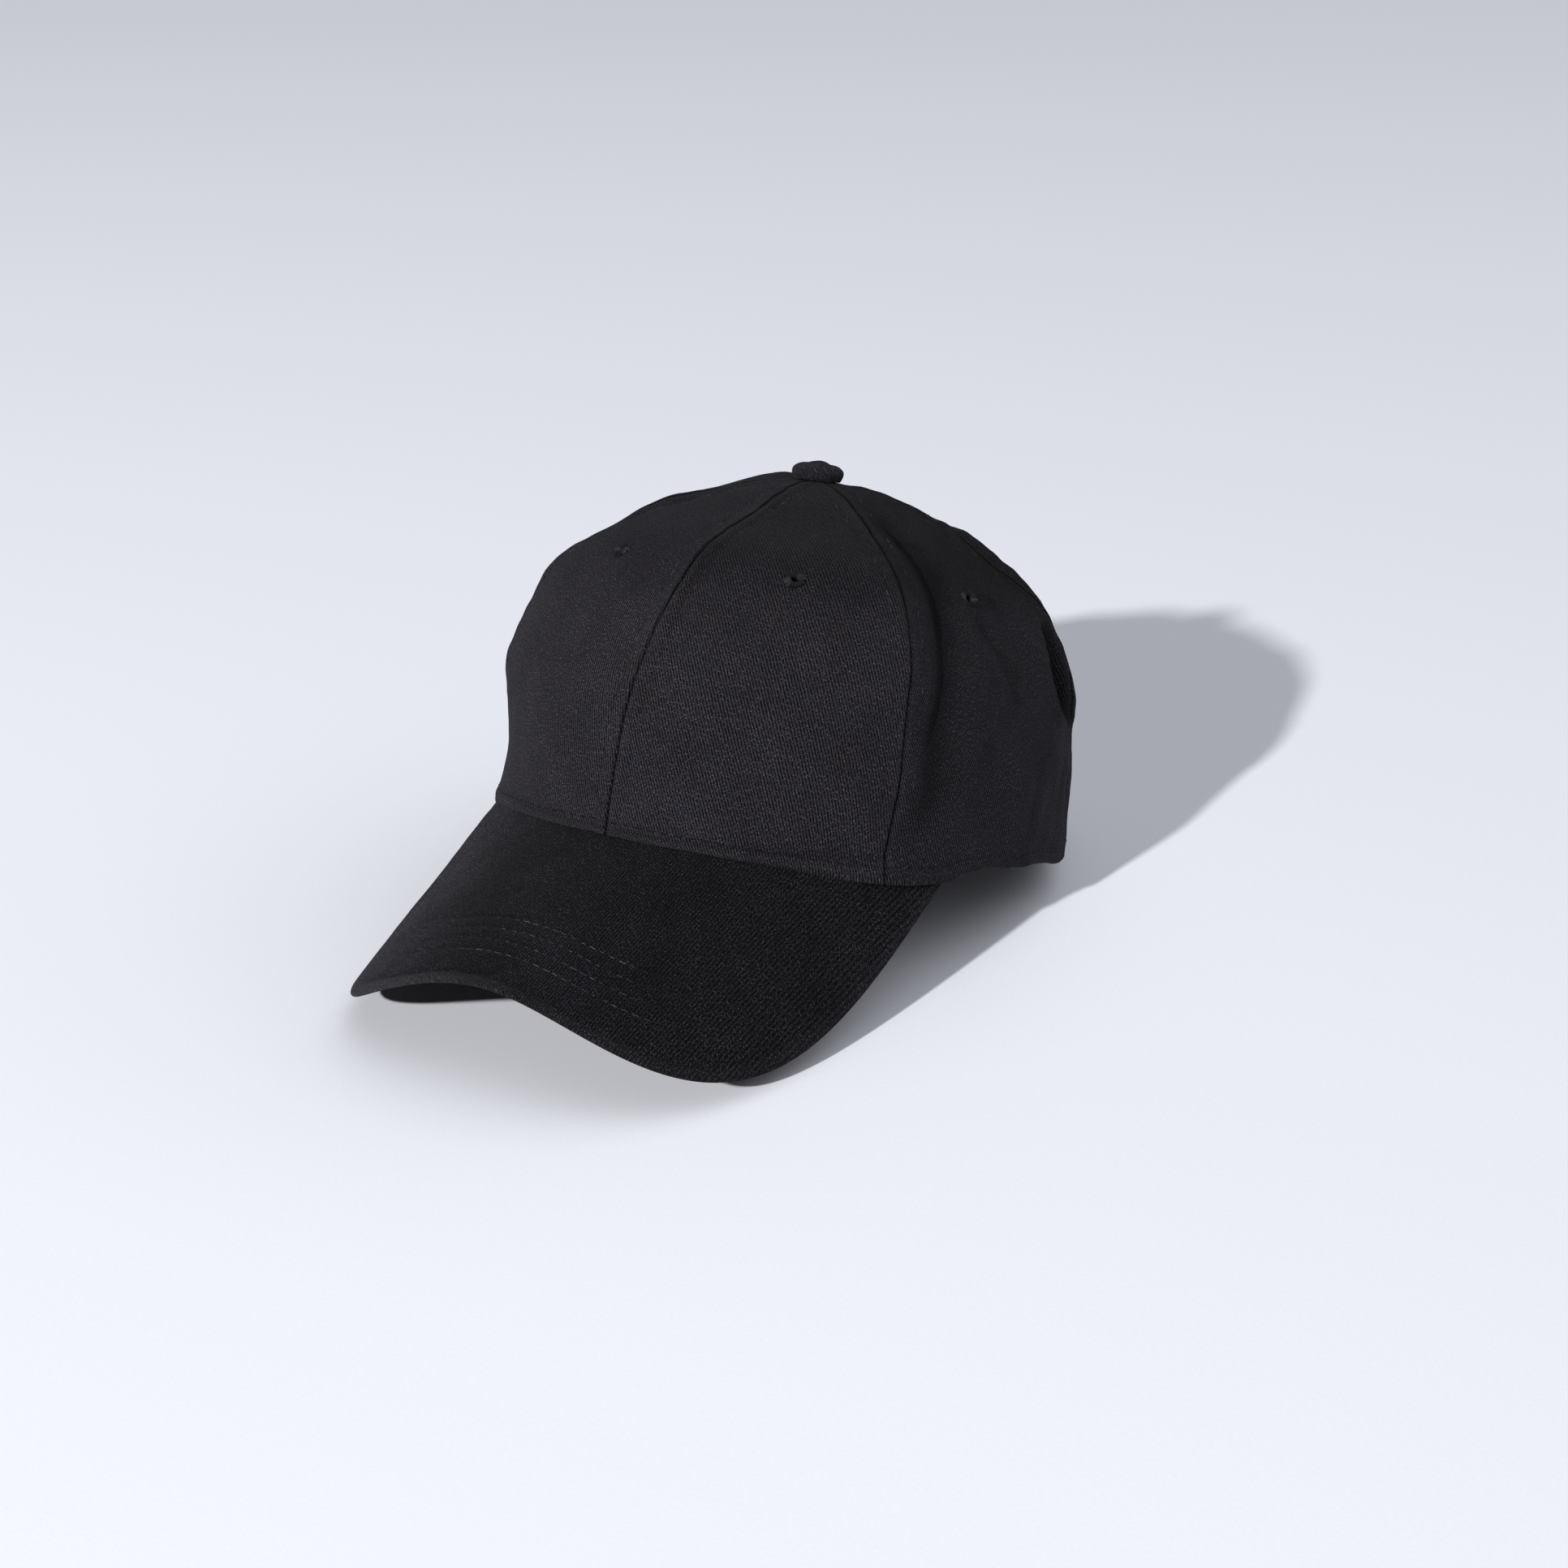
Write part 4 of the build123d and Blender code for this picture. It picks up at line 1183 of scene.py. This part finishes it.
def visorPlan(first=0.0):
    # Rows across the visor from its outer edge, or from an inset, in to the crown.
    turns = np.linspace(-90, 90, visor["around"] + 1)
    innerHalf = headRadius - crown["seamAllowance"]
    innerReach = frontReach - crown["seamAllowance"]
    spread = asin(sqrt(1 - (attachY / innerReach) ** 2))
    innerX = innerHalf * np.sin(spread * turns / 90)
    innerY = -innerReach * np.cos(spread * turns / 90)
    rows = [visorEdge(turns, inset) for inset in visor["edgeSteps"] if inset >= first]
    lastX, lastY = rows[-1]
    for step in np.linspace(0, 1, visor["across"])[1:]:
        rows.append((lastX + (innerX - lastX) * step, lastY + (innerY - lastY) * step))
    return np.array([row[0] for row in rows]), np.array([row[1] for row in rows])


def visorHeight(x, y):
    bend = lobe(x, visor["bend"]) * ramp(-y, visor["bendRun"])
    return visorLevel(x, y) + bend + lobe(x, visor["droop"]) * ramp(-y, visor["droopRun"])


def visorSurface(x, y):
    # A spot on the smooth top of the visor and the way up from it.
    step = 0.5
    slopeX = (visorHeight(x + step, y) - visorHeight(x - step, y)) / (2 * step)
    slopeY = (visorHeight(x, y + step) - visorHeight(x, y - step)) / (2 * step)
    normal = np.stack([-slopeX, -slopeY, np.ones_like(x)], -1)
    return np.stack([x, y, visorHeight(x, y)], -1), normal / np.linalg.norm(normal, axis=-1, keepdims=True)


def visorThickness(inset):
    return visor["thickness"] - visor["edgeThinner"] * (1 - ease(inset / visor["edgeWidth"]))


# Painted highlight on the visor's rows of stitching.
rowPaintedHighlight = {
    "least": 0.02,
    "from": 0.405,  # shares of the row's length
    "to": 0.685,
    "fade": 0.07,
}


def paintedHighlightMiddle(share):
    # Painted highlight: the thread is coloured pale near the middle of the front, where the rows catch the
    # light, and black towards the crown.
    start = ease((share - rowPaintedHighlight["from"]) / rowPaintedHighlight["fade"])
    end = ease((rowPaintedHighlight["to"] - share) / rowPaintedHighlight["fade"])
    return float(rowPaintedHighlight["least"] + (1 - rowPaintedHighlight["least"]) * start * end)


xs, ys = visorPlan()
inset = np.clip(insetOf(xs, ys), 0, None)
thickness = visorThickness(inset)
half = thickness / 2
fall = half - np.sqrt(np.maximum(half**2 - np.clip(half - inset, 0, half) ** 2, 0))
relief = visorRelief(xs, ys, inset) * ease(inset / 3)
spots, normal = visorSurface(xs, ys)
# Partly real edge wear, partly painted highlight, paler towards the wearer's right.
wear = visor["edgeWear"] * (1 - ramp(inset, visor["edgeWearTo"])) * (0.2 + ramp(-xs, visor["wearAndHighlightAcross"]))
visorCovers = (
    ("visorTop", "visor_top_cover", fall - relief, normal),
    ("visorUnderside", "visor_bottom_cover", thickness - fall + relief * visor["underShare"], -normal),
)
for name, node, depth, outward in visorCovers:
    grid = spots - normal * depth[..., None]
    weave = weaveOf(xs, -ys * visor["weaveStretch"])
    points, faces, weave = clothShell(grid, weave, visor["cloth"], outward)
    # Painted shade, fading out towards the visor's right end.
    darkening = ramp(grid[..., 0], visor["darkening"])
    marks = {"weave": weave, "wear": shellMark(wear, points), "depth": shellMark(darkening, points)}
    piece = makePiece(name, points, faces, marks, "crown", visorFinish, "cloth")
    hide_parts(node)

xs, ys = visorPlan(visor["boardInset"])
spots, normal = visorSurface(xs, ys)
grid = spots - normal * (visorThickness(visor["boardInset"]) - visor["boardThickness"]) / 2
board = visor["boardThickness"]
sewShell("visorBoard", "visor_board", grid, weaveOf(xs, ys), board, normal, boardFinish, "board")

rowStitch = {**stitch, "pitch": 3.3, "length": 3.75, "radius": 0.06, "lift": 0.15}
threads = []
dice = random.Random(14)
edgeX, edgeY, outX, outY = edgeWithWays(1400)
for inset in visor["rowInsets"]:
    x, y = edgeX - outX * inset, edgeY - outY * inset
    outsideCrown = np.hypot(x / headRadius, y / frontReach) > 1.005
    x, y = x[outsideCrown], y[outsideCrown]
    relief = visorRelief(x, y, insetOf(x, y))
    spots, normal = visorSurface(x, y)
    under = visorThickness(inset) + relief * visor["underShare"]
    for depth, outs in ((-relief, normal), (under, -normal)):
        sewn = spots - normal * depth[:, None]
        # Painted highlight along the middle of each row.
        threads += stitchRow(sewn, outs, rowStitch, dice, (0.15, 0.6), paintedHighlightMiddle)
makePiece("visorStitching", *joinThreads(threads), "crown", stitchFinish, "thread")
print("cap: visor covered and stitched")

# Button: cloth gathered over a metal shell.
button = {
    "radius": 8.1,
    "height": 4.7,
    "hemRadius": 7.5,
    "widestAt": 2.0,
    "topRadius": 3.6,
    "topSteps": (0.78, 0.6, 0.42, 0.24, 0.08),
    "dome": 0.9,
    "cloth": 0.7,
    "innerShare": 0.915,  # the lining's radius as a share of the cloth's
    "gap": 0.5,
    "hem": 0.55,  # the hem reaches this far below the gap
    "gathers": 19,
    "gatherDepth": 0.14,
    "gatherSway": 1.3,
    "waver": ((0.14, 7, 51),),  # rise, size and seed
    "ripple": ((0.12, 6, 52),),
    "liftedHem": (1.3, 112.0, 9.0),  # the hem has ridden up here and the metal shows
    "wornRows": (5, 14),
    "darkening": 0.3,
    "around": 128,
}
base = crown["height"] + crown["peak"] + button["gap"]
turns = np.linspace(0, tau, button["around"], endpoint=False)
profile = []
for step in np.linspace(-1, 0, 8):
    across = button["radius"] - (button["radius"] - button["hemRadius"]) * step**2
    profile.append((across, button["widestAt"] + step * (button["widestAt"] + button["hem"])))
for step in np.linspace(0, pi / 2, 12)[1:]:
    across = button["topRadius"] + (button["radius"] - button["topRadius"]) * cos(step)
    profile.append((across, button["widestAt"] + (button["height"] - button["widestAt"]) * sin(step)))
for step in button["topSteps"]:
    profile.append((button["topRadius"] * step, button["height"] + button["dome"] * (1 - step**2)))
grid = np.zeros((len(profile), button["around"], 3))
lift = lobe((np.degrees(turns) + 180) % 360 - 180, button["liftedHem"])
gathers = np.sin(turns * button["gathers"] + button["gatherSway"] * np.sin(turns * 3))
for row, (across, up) in enumerate(profile):
    low = max(0.0, 1 - max(up, 0) / (button["height"] - 1))
    acrossX, acrossY = across * np.sin(turns), across * np.cos(turns)
    radius = across + button["gatherDepth"] * gathers * (0.2 + 0.8 * low)
    radius = radius + noises(acrossY, acrossX, button["waver"])
    rise = lift * low + noises(acrossX, acrossY, button["ripple"])
    along = -crown["buttonForward"] - radius * np.cos(turns)
    grid[row] = np.stack([radius * np.sin(turns), along, base + up + rise], -1)
centre = np.array([0, -crown["buttonForward"], base])
shrink = np.array([button["innerShare"], button["innerShare"], 1 - button["cloth"] / button["height"]])
inner = centre + (grid - centre) * shrink
inner[..., 2] = np.minimum(inner[..., 2], grid[..., 2])
inner[0, :, 2] = grid[0, :, 2] + 0.02
rows, around = grid.shape[:2]
count = rows * around
points = np.concatenate([grid.reshape(-1, 3), inner.reshape(-1, 3)])
faces = gridFaces(rows, around, 0, False, True) + gridFaces(rows, around, count, False, True)
for column in range(around):
    beside = (column + 1) % around
    faces.append([column, beside, count + beside, count + column])
faces += [list(range(count - around, count)), list(range(2 * count - around, 2 * count))[::-1]]
offset = points - centre
weave = weaveOf(offset[:, 0] + offset[:, 2], offset[:, 1])
firstWorn, lastWorn = button["wornRows"]
wear = np.tile(np.repeat([0.5 if firstWorn < row < lastWorn else 0.1 for row in range(rows)], around), 2)
marks = {"weave": weave, "wear": wear, "depth": np.full(len(points), button["darkening"])}
piece = makePiece("buttonCover", points, faces, marks, "crown", clothFinish, "cloth")
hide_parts("button_cover")
print("cap: button covered")

# Inside: tapes over the seams, stiff backing, sweatband and the binding of the opening.
lining = {
    "tapeWidth": 10.0,
    "tapeThickness": 0.5,
    "tapeLow": 6.0,
    "tapeLowByStrap": 27.0,  # the strap's ends slide by below this
    "tapeTopRadius": 12.0,
    "tapeDepth": 1.4,
    "tapeOverBacking": 0.9,
    "tapeLift": (1.5, 0, 2.6),  # the tape stands in over the turned seam
    "backing": 0.8,
    "backingLow": 6.0,
    "backingHigh": 76.0,
    "backingGap": 0.25,
    "layerGap": 0.2,
    "bindingWidth": 8.0,
    "bindingThickness": 0.4,
    "bindingGap": 0.15,
    "bindingLow": 27.5,
    "outwardFollow": 0.6,
}


def innerWall(angle, turn, depth):
    # Follows the folds of the crown, but not its seams.
    radius, height = wallSpot(angle, turn)
    follow = sum(foldRise(fold, angle, radius, height) for fold in folds)
    follow = np.minimum(follow, 0.0) + np.maximum(follow, 0.0) * lining["outwardFollow"]
    return wallPoint(angle, turn, depth - follow)


tapeRows = [("frontSeamTape", "front_seam_tape", 0), ("backSeamTape", "back_seam_tape", 180)]
for side, sign in bothSides:
    tapeRows.append((f"frontSideTape{side}", f"front_side_tape_{side.lower()}", sign * 53))
    tapeRows.append((f"backSideTape{side}", f"back_side_tape_{side.lower()}", sign * 120))
across = np.linspace(-0.5, 0.5, 15) * lining["tapeWidth"]
for name, node, seam in tapeRows:
    seamTurn = min(abs(seam), backSeam)
    turns, rises, height = riseTable(seamTurn)
    low = {120: lining["tapeLowByStrap"], 180: crown["openingHeight"] + 1.0}.get(abs(seam), lining["tapeLow"])
    start = float(turnAtHeight(np.array(seamTurn), low))
    stop = float(turnAtRadius(np.array(seamTurn), lining["tapeTopRadius"]))
    steps = np.linspace(np.interp(-start, -turns, rises), np.interp(-stop, -turns, rises), 90)
    depth = lining["tapeDepth"] + lobe(across, lining["tapeLift"])
    depth = depth + (lining["tapeOverBacking"] if abs(seam) < 60 else 0.0)
    grid, weave = [], []
    for turn in np.interp(steps, rises, turns):
        radius = wallSpot(np.array([float(seamTurn)]), np.array([turn]))[0][0]
        angles = seam + np.degrees(across / radius)
        angles = np.where(angles > 180, angles - 360, angles)
        grid.append(innerWall(angles, np.full(len(across), turn), depth))
        weave.append(weaveOf(across, turn * 1.5))
    grid, weave, thickness = np.array(grid), np.array(weave), lining["tapeThickness"]
    sewShell(name, node, grid, weave, -thickness, crownMiddle - grid, tapeFinish, "tape")

for side, sign in bothSides:
    angles = np.linspace(0.6, seams[1] - 0.6, 46) * sign
    angles, heights = np.meshgrid(angles, np.linspace(lining["backingLow"], lining["backingHigh"], 60))
    turns = turnAtHeight(angles, heights)
    grid = innerWall(angles, turns, crown["cloth"] + lining["layerGap"] + lining["backingGap"])
    weave = weaveOf(np.radians(angles) * wallSpot(angles, turns)[0], heights)
    name, node = f"frontBacking{side}", f"front_buckram_{side.lower()}"
    sewShell(name, node, grid, weave, lining["backing"], grid - crownMiddle, backingFinish, "lining")

arch = np.linspace(asin(lining["bindingLow"] / (crown["openingHeight"] + 8)), pi / 2, 90)
arch = np.concatenate([arch, arch[::-1][1:]])
signs = np.array([1] * 90 + [-1] * 89)
depth = crown["cloth"] + lining["layerGap"] + lining["bindingGap"]
grid, weave = [], []
for out in np.linspace(0.15, lining["bindingWidth"], 9):
    up = (crown["openingHeight"] + out) * np.sin(arch) + crown["sewnGap"]
    angles, turns = backSpot((crown["openingHalfWidth"] + out) * np.cos(arch), up)
    grid.append(innerWall(signs * angles, turns, depth))
    weave.append(weaveOf(out, np.arange(len(arch)) * 1.1))
grid, weave, thickness = np.array(grid), np.array(weave), lining["bindingThickness"]
sewShell("openingBinding", "opening_binding", grid, weave, thickness, grid - crownMiddle, tapeFinish, "tape")

band = {
    "depth": 4.4,
    "outerFace": 0.5,  # how far in from there its two faces stand
    "innerFace": 1.1,
    "low": 0.35,
    "high": 31.4,
    "rows": 30,
    "endGap": 2.0,
    "puff": 0.7,
    "ripples": ((0.25, 18, 61), (0.12, 6, 62)),  # rise, size and seed
    "outerShare": 0.3,
    "innerShare": 0.6,
    "stitchDip": (0.35, 29.0, 0.7),
    "aroundScale": 1.52,  # millimetres of cloth to a degree
}
stop = asin((crown["openingHalfWidth"] + band["endGap"]) / headRadius)
bandAngle = degrees(atan2(sin(stop), -cos(stop) - crown["buttonForward"] / headRadius))
angles = np.linspace(-bandAngle, bandAngle, 260)
ups = np.linspace(band["low"], band["high"], band["rows"])
grid, weave = [], []
for up, isInner in [(up, True) for up in ups] + [(up, False) for up in ups[::-1]]:
    share = (up - band["low"]) / (band["high"] - band["low"])
    ripple = noises(angles * 1.5, angles * 0 + up, band["ripples"])
    if isInner:
        puff = band["puff"] * np.clip(4 * share * (1 - share), 0, 1) ** 0.6 - lobe(up, band["stitchDip"])
        depth = band["depth"] + band["innerFace"] + puff + ripple * band["innerShare"]
    else:
        depth = band["depth"] + band["outerFace"] + ripple * band["outerShare"]
    grid.append(wallPoint(angles, turnAtHeight(angles, up), depth, crown["seamAllowance"]))
    weave.append(weaveOf(angles * band["aroundScale"], up))
rows, columns = 2 * band["rows"], len(angles)
faces = gridFaces(rows, columns, 0, True, False)
faces.append([row * columns for row in range(rows)])
faces.append([row * columns + columns - 1 for row in range(rows)][::-1])
marks = {"weave": np.array(weave).reshape(-1, 3)}
sweatband = makePiece(
    "paddedSweatband", np.array(grid).reshape(-1, 3), faces, marks, "crown", bandFinish, "band"
)
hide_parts("sweatband")
print("cap: lining sewn in")

# Strap, tab and buckle
strap = {
    "width": 18.0,
    "cloth": 1.0,
    "pressed": 0.85,  # its cloth is pressed to this share of its thickness
    "lift": 7.5,
    "depth": 2.4,
    "lean": atan2(1.1, 24.0),
    "end": 62.0,
    "edgeSteps": (0, 0.25, 0.7),
    "middleSteps": (1.3, 16),  # from this far in, and how many
    "edgeDroop": 0.3,
    "swell": ((0.10, 12, 71),),  # rise, size and seed
    "aroundScale": 1.5,  # millimetres of cloth to a degree
    "stitchInset": 1.8,
    "stitchDip": (0.16, 1.8, 0.5),
    "stitchSunk": 0.14,
    "clearance": 0.35,
    "buckleAngle": 21.0,
    "barOffset": 11.0,
}
tab = {
    "thickness": 0.75,
    "pressed": 0.9,
    "depth": 1.25,
    "end": 53.0,
    "eye": 1.7,
    "edgeSteps": (0, 0.3),
    "middleSteps": (1, 14),
    "eyeTurns": (12, 300),
    "overlap": 0.6,
}


def stepsAcross(look):
    # Spots across the strap or the tab, closer together beside its edges.
    first, count = look["middleSteps"]
    edge = np.array(look["edgeSteps"])
    middle = np.linspace(first, strap["width"] - first, count)
    return np.concatenate([edge, middle, strap["width"] - edge[::-1]])


def leanAt(up):
    return up * np.tan(strap["lean"])


def roundTheBack(away, angle, up):
    # Spots at one angle round the origin's axis, from the back.
    return np.stack(np.broadcast_arrays(away * np.sin(angle), away * np.cos(angle), up), -1)


strapRadius = headRadius - strap["depth"]
across = stepsAcross(strap)
edge = np.minimum(across, strap["width"] - across)
droop = strap["edgeDroop"] * np.clip(1 - edge / strap["edgeSteps"][-1], 0, 1) ** 2
flat = strapRadius - leanAt(strap["lift"] + across) - droop - lobe(edge, strap["stitchDip"])
grid, weave = [], []
for angle in np.linspace(-strap["end"], strap["end"], 150):
    along = angle * strap["aroundScale"]
    away = flat + noises(across, across * 0 + along, strap["swell"])
    grid.append(roundTheBack(away, radians(angle), strap["lift"] + across))
    weave.append(weaveOf(across, along))
grid, weave, thickness = np.array(grid), np.array(weave), strap["cloth"] * strap["pressed"]
outward = grid * np.array([1, 1, 0])
sewShell("strapBand", "strap", grid, weave, thickness, outward, clothFinish, "cloth", "strap")
threads = []
dice = random.Random(21)
angles = np.radians(np.linspace(-strap["end"] + 1, strap["end"] - 1, 500))
for inset in (strap["stitchInset"], strap["width"] - strap["stitchInset"]):
    up = strap["lift"] + inset
    spots = roundTheBack(strapRadius - leanAt(up) - strap["stitchSunk"], angles, up)
    strapStitch = {**stitch, "lift": strap["stitchSunk"]}
    threads += stitchRow(spots, roundTheBack(1.0, angles, 0.0), strapStitch, dice, (0.04, 0.25))
makePiece("strapStitching", *joinThreads(threads), "strap", stitchFinish, "thread")

# The tab runs in from the left back panel and loops round the buckle's bar.
middle = strap["lift"] + strap["width"] / 2
barAlong, tabRadius = strap["barOffset"], headRadius - tab["depth"]
barOut = strapRadius - leanAt(middle) + strap["clearance"] + tab["eye"] - barAlong**2 / (2 * strapRadius)
barAngle = radians(strap["buckleAngle"]) + atan2(barAlong, barOut)
barRadius = sqrt(barAlong**2 + barOut**2)
across = stepsAcross(tab)
up = strap["lift"] + across
grid, weave = [], []
for angle in np.linspace(radians(tab["end"]), barAngle + radians(tab["overlap"]), 40):
    grid.append(roundTheBack(tabRadius - leanAt(up), angle, up))
    weave.append(weaveOf(across, angle * tabRadius))
loop = tab["eye"] - tab["thickness"]
for turn in np.radians(np.linspace(*tab["eyeTurns"], 26)):
    away = barRadius + leanAt(middle) - leanAt(up) - loop * cos(turn)
    along = -loop * sin(turn)
    x = away * sin(barAngle) + along * cos(barAngle)
    y = away * cos(barAngle) - along * sin(barAngle)
    grid.append(np.stack([x, y, up], -1))
    weave.append(weaveOf(across, barAngle * tabRadius - turn * 1.5))
grid, weave, thickness = np.array(grid), np.array(weave), tab["thickness"] * tab["pressed"]
sewShell("buckleTab", "buckle_tab", grid, weave, thickness, grid * np.array([1, 1, 0]), clothFinish, "cloth")

metalNodes = ["buckle_frame", "buckle_lever", "buckle_pin", "buckle_bar"]
metalNodes += ["button_shell", "button_rivet", "button_washer"]
for node in metalNodes:
    metal = frame["nodes"][node]
    metal.data.materials.clear()
    metal.data.materials.append(buckleFinish)
for node in ("buckle_frame", "buckle_lever"):
    soften = frame["nodes"][node].modifiers.new("softEdges", "BEVEL")
    soften.width = 0.00025
    soften.segments = 2
    soften.limit_method = "ANGLE"
print("cap: closure fitted")

# Floor, light and camera
studio = {
    "floorColour": (0.86, 0.868, 0.925, 1),
    "floorSize": 12.0,
    "floorDrop": 0.0004,
    "floorGrain": 900.0,
    "keyPower": 280.0,
    "keySize": 0.2,
    "keyDistance": 5.0,
    "keyAround": -94.5,
    "keyUp": 27.2,
    "skyStrength": 0.03,
    "skyColour": (0.93, 0.95, 1.0, 1),
    "fillStrength": 1.25,  # a broad soft light from the right and behind
    "fillSpread": 2.0,
    "fillAround": 50.2,
    "fillUp": 45.0,
    "viewAround": 31.84,
    "viewUp": 22.31,
    "roll": 1.836,
    "lens": 69.17,
    "sensor": 36.0,
    "distance": 0.930,
    "aim": (0.0150, 0.0089, 0.0438),
}


def wayTo(aroundDegrees, upDegrees):
    around, up = radians(aroundDegrees), radians(upDegrees)
    return Vector((cos(up) * cos(around), cos(up) * sin(around), sin(up)))


bpy.ops.mesh.primitive_plane_add(size=studio["floorSize"], location=(0, 0, -studio["floorDrop"]))
floor = bpy.context.object
floor.name = "floor"
finish, desk, shader = newFinish("paleFloor")
mottle = desk.stretch(desk.noise(desk.objectSpot(), studio["floorGrain"], 2.0), 0.3, 0.7, 0.985, 1.01)
floorColour = desk.tinted(studio["floorColour"], mottle)
desk.fill(shader, {"Base Color": floorColour, "Roughness": 0.9, "Specular IOR Level": 0.1})
floor.data.materials.append(finish)

key = bpy.data.lights.new("key", "AREA")
key.shape = "DISK"
key.size = studio["keySize"]
key.energy = studio["keyPower"]
keyLamp = bpy.data.objects.new("key", key)
bpy.context.scene.collection.objects.link(keyLamp)
way = wayTo(studio["keyAround"], studio["keyUp"])
keyLamp.location = way * studio["keyDistance"]
keyLamp.rotation_euler = way.to_track_quat("Z", "Y").to_euler()

sky = bpy.data.worlds.new("studio")
bpy.context.scene.world = sky
desk = finishDesk(sky)
towards = desk.add("ShaderNodeVectorMath", operation="DOT_PRODUCT")
skyWay = desk.add("ShaderNodeTexCoord").outputs["Generated"]
desk.fill(towards, {0: skyWay, 1: wayTo(studio["fillAround"], studio["fillUp"])})
spread = desk.maths("POWER", desk.maths("MAXIMUM", towards.outputs["Value"], 0.0), studio["fillSpread"])
strength = desk.maths("MULTIPLY_ADD", spread, studio["fillStrength"], studio["skyStrength"])
desk.fill(desk.nodes["Background"], {"Color": studio["skyColour"], "Strength": strength})

camera = bpy.data.objects.new("camera", bpy.data.cameras.new("camera"))
bpy.context.scene.collection.objects.link(camera)
bpy.context.scene.camera = camera
camera.data.lens = studio["lens"]
camera.data.sensor_width = studio["sensor"]
camera.data.clip_start = 0.01
camera.data.clip_end = 50
towardsCamera = wayTo(studio["viewAround"] - 90, studio["viewUp"])
camera.location = Vector(studio["aim"]) + towardsCamera * studio["distance"]
around, up = radians(studio["viewAround"]), radians(studio["viewUp"])
straight = Matrix((
    (cos(around), -sin(around) * sin(up), sin(around) * cos(up)),
    (sin(around), cos(around) * sin(up), -cos(around) * cos(up)),
    (0, cos(up), sin(up)),
))
camera.rotation_euler = (straight @ Matrix.Rotation(-radians(studio["roll"]), 3, "Z")).to_euler()
bpy.context.scene.view_settings.view_transform = "Standard"
print("cap: studio set")
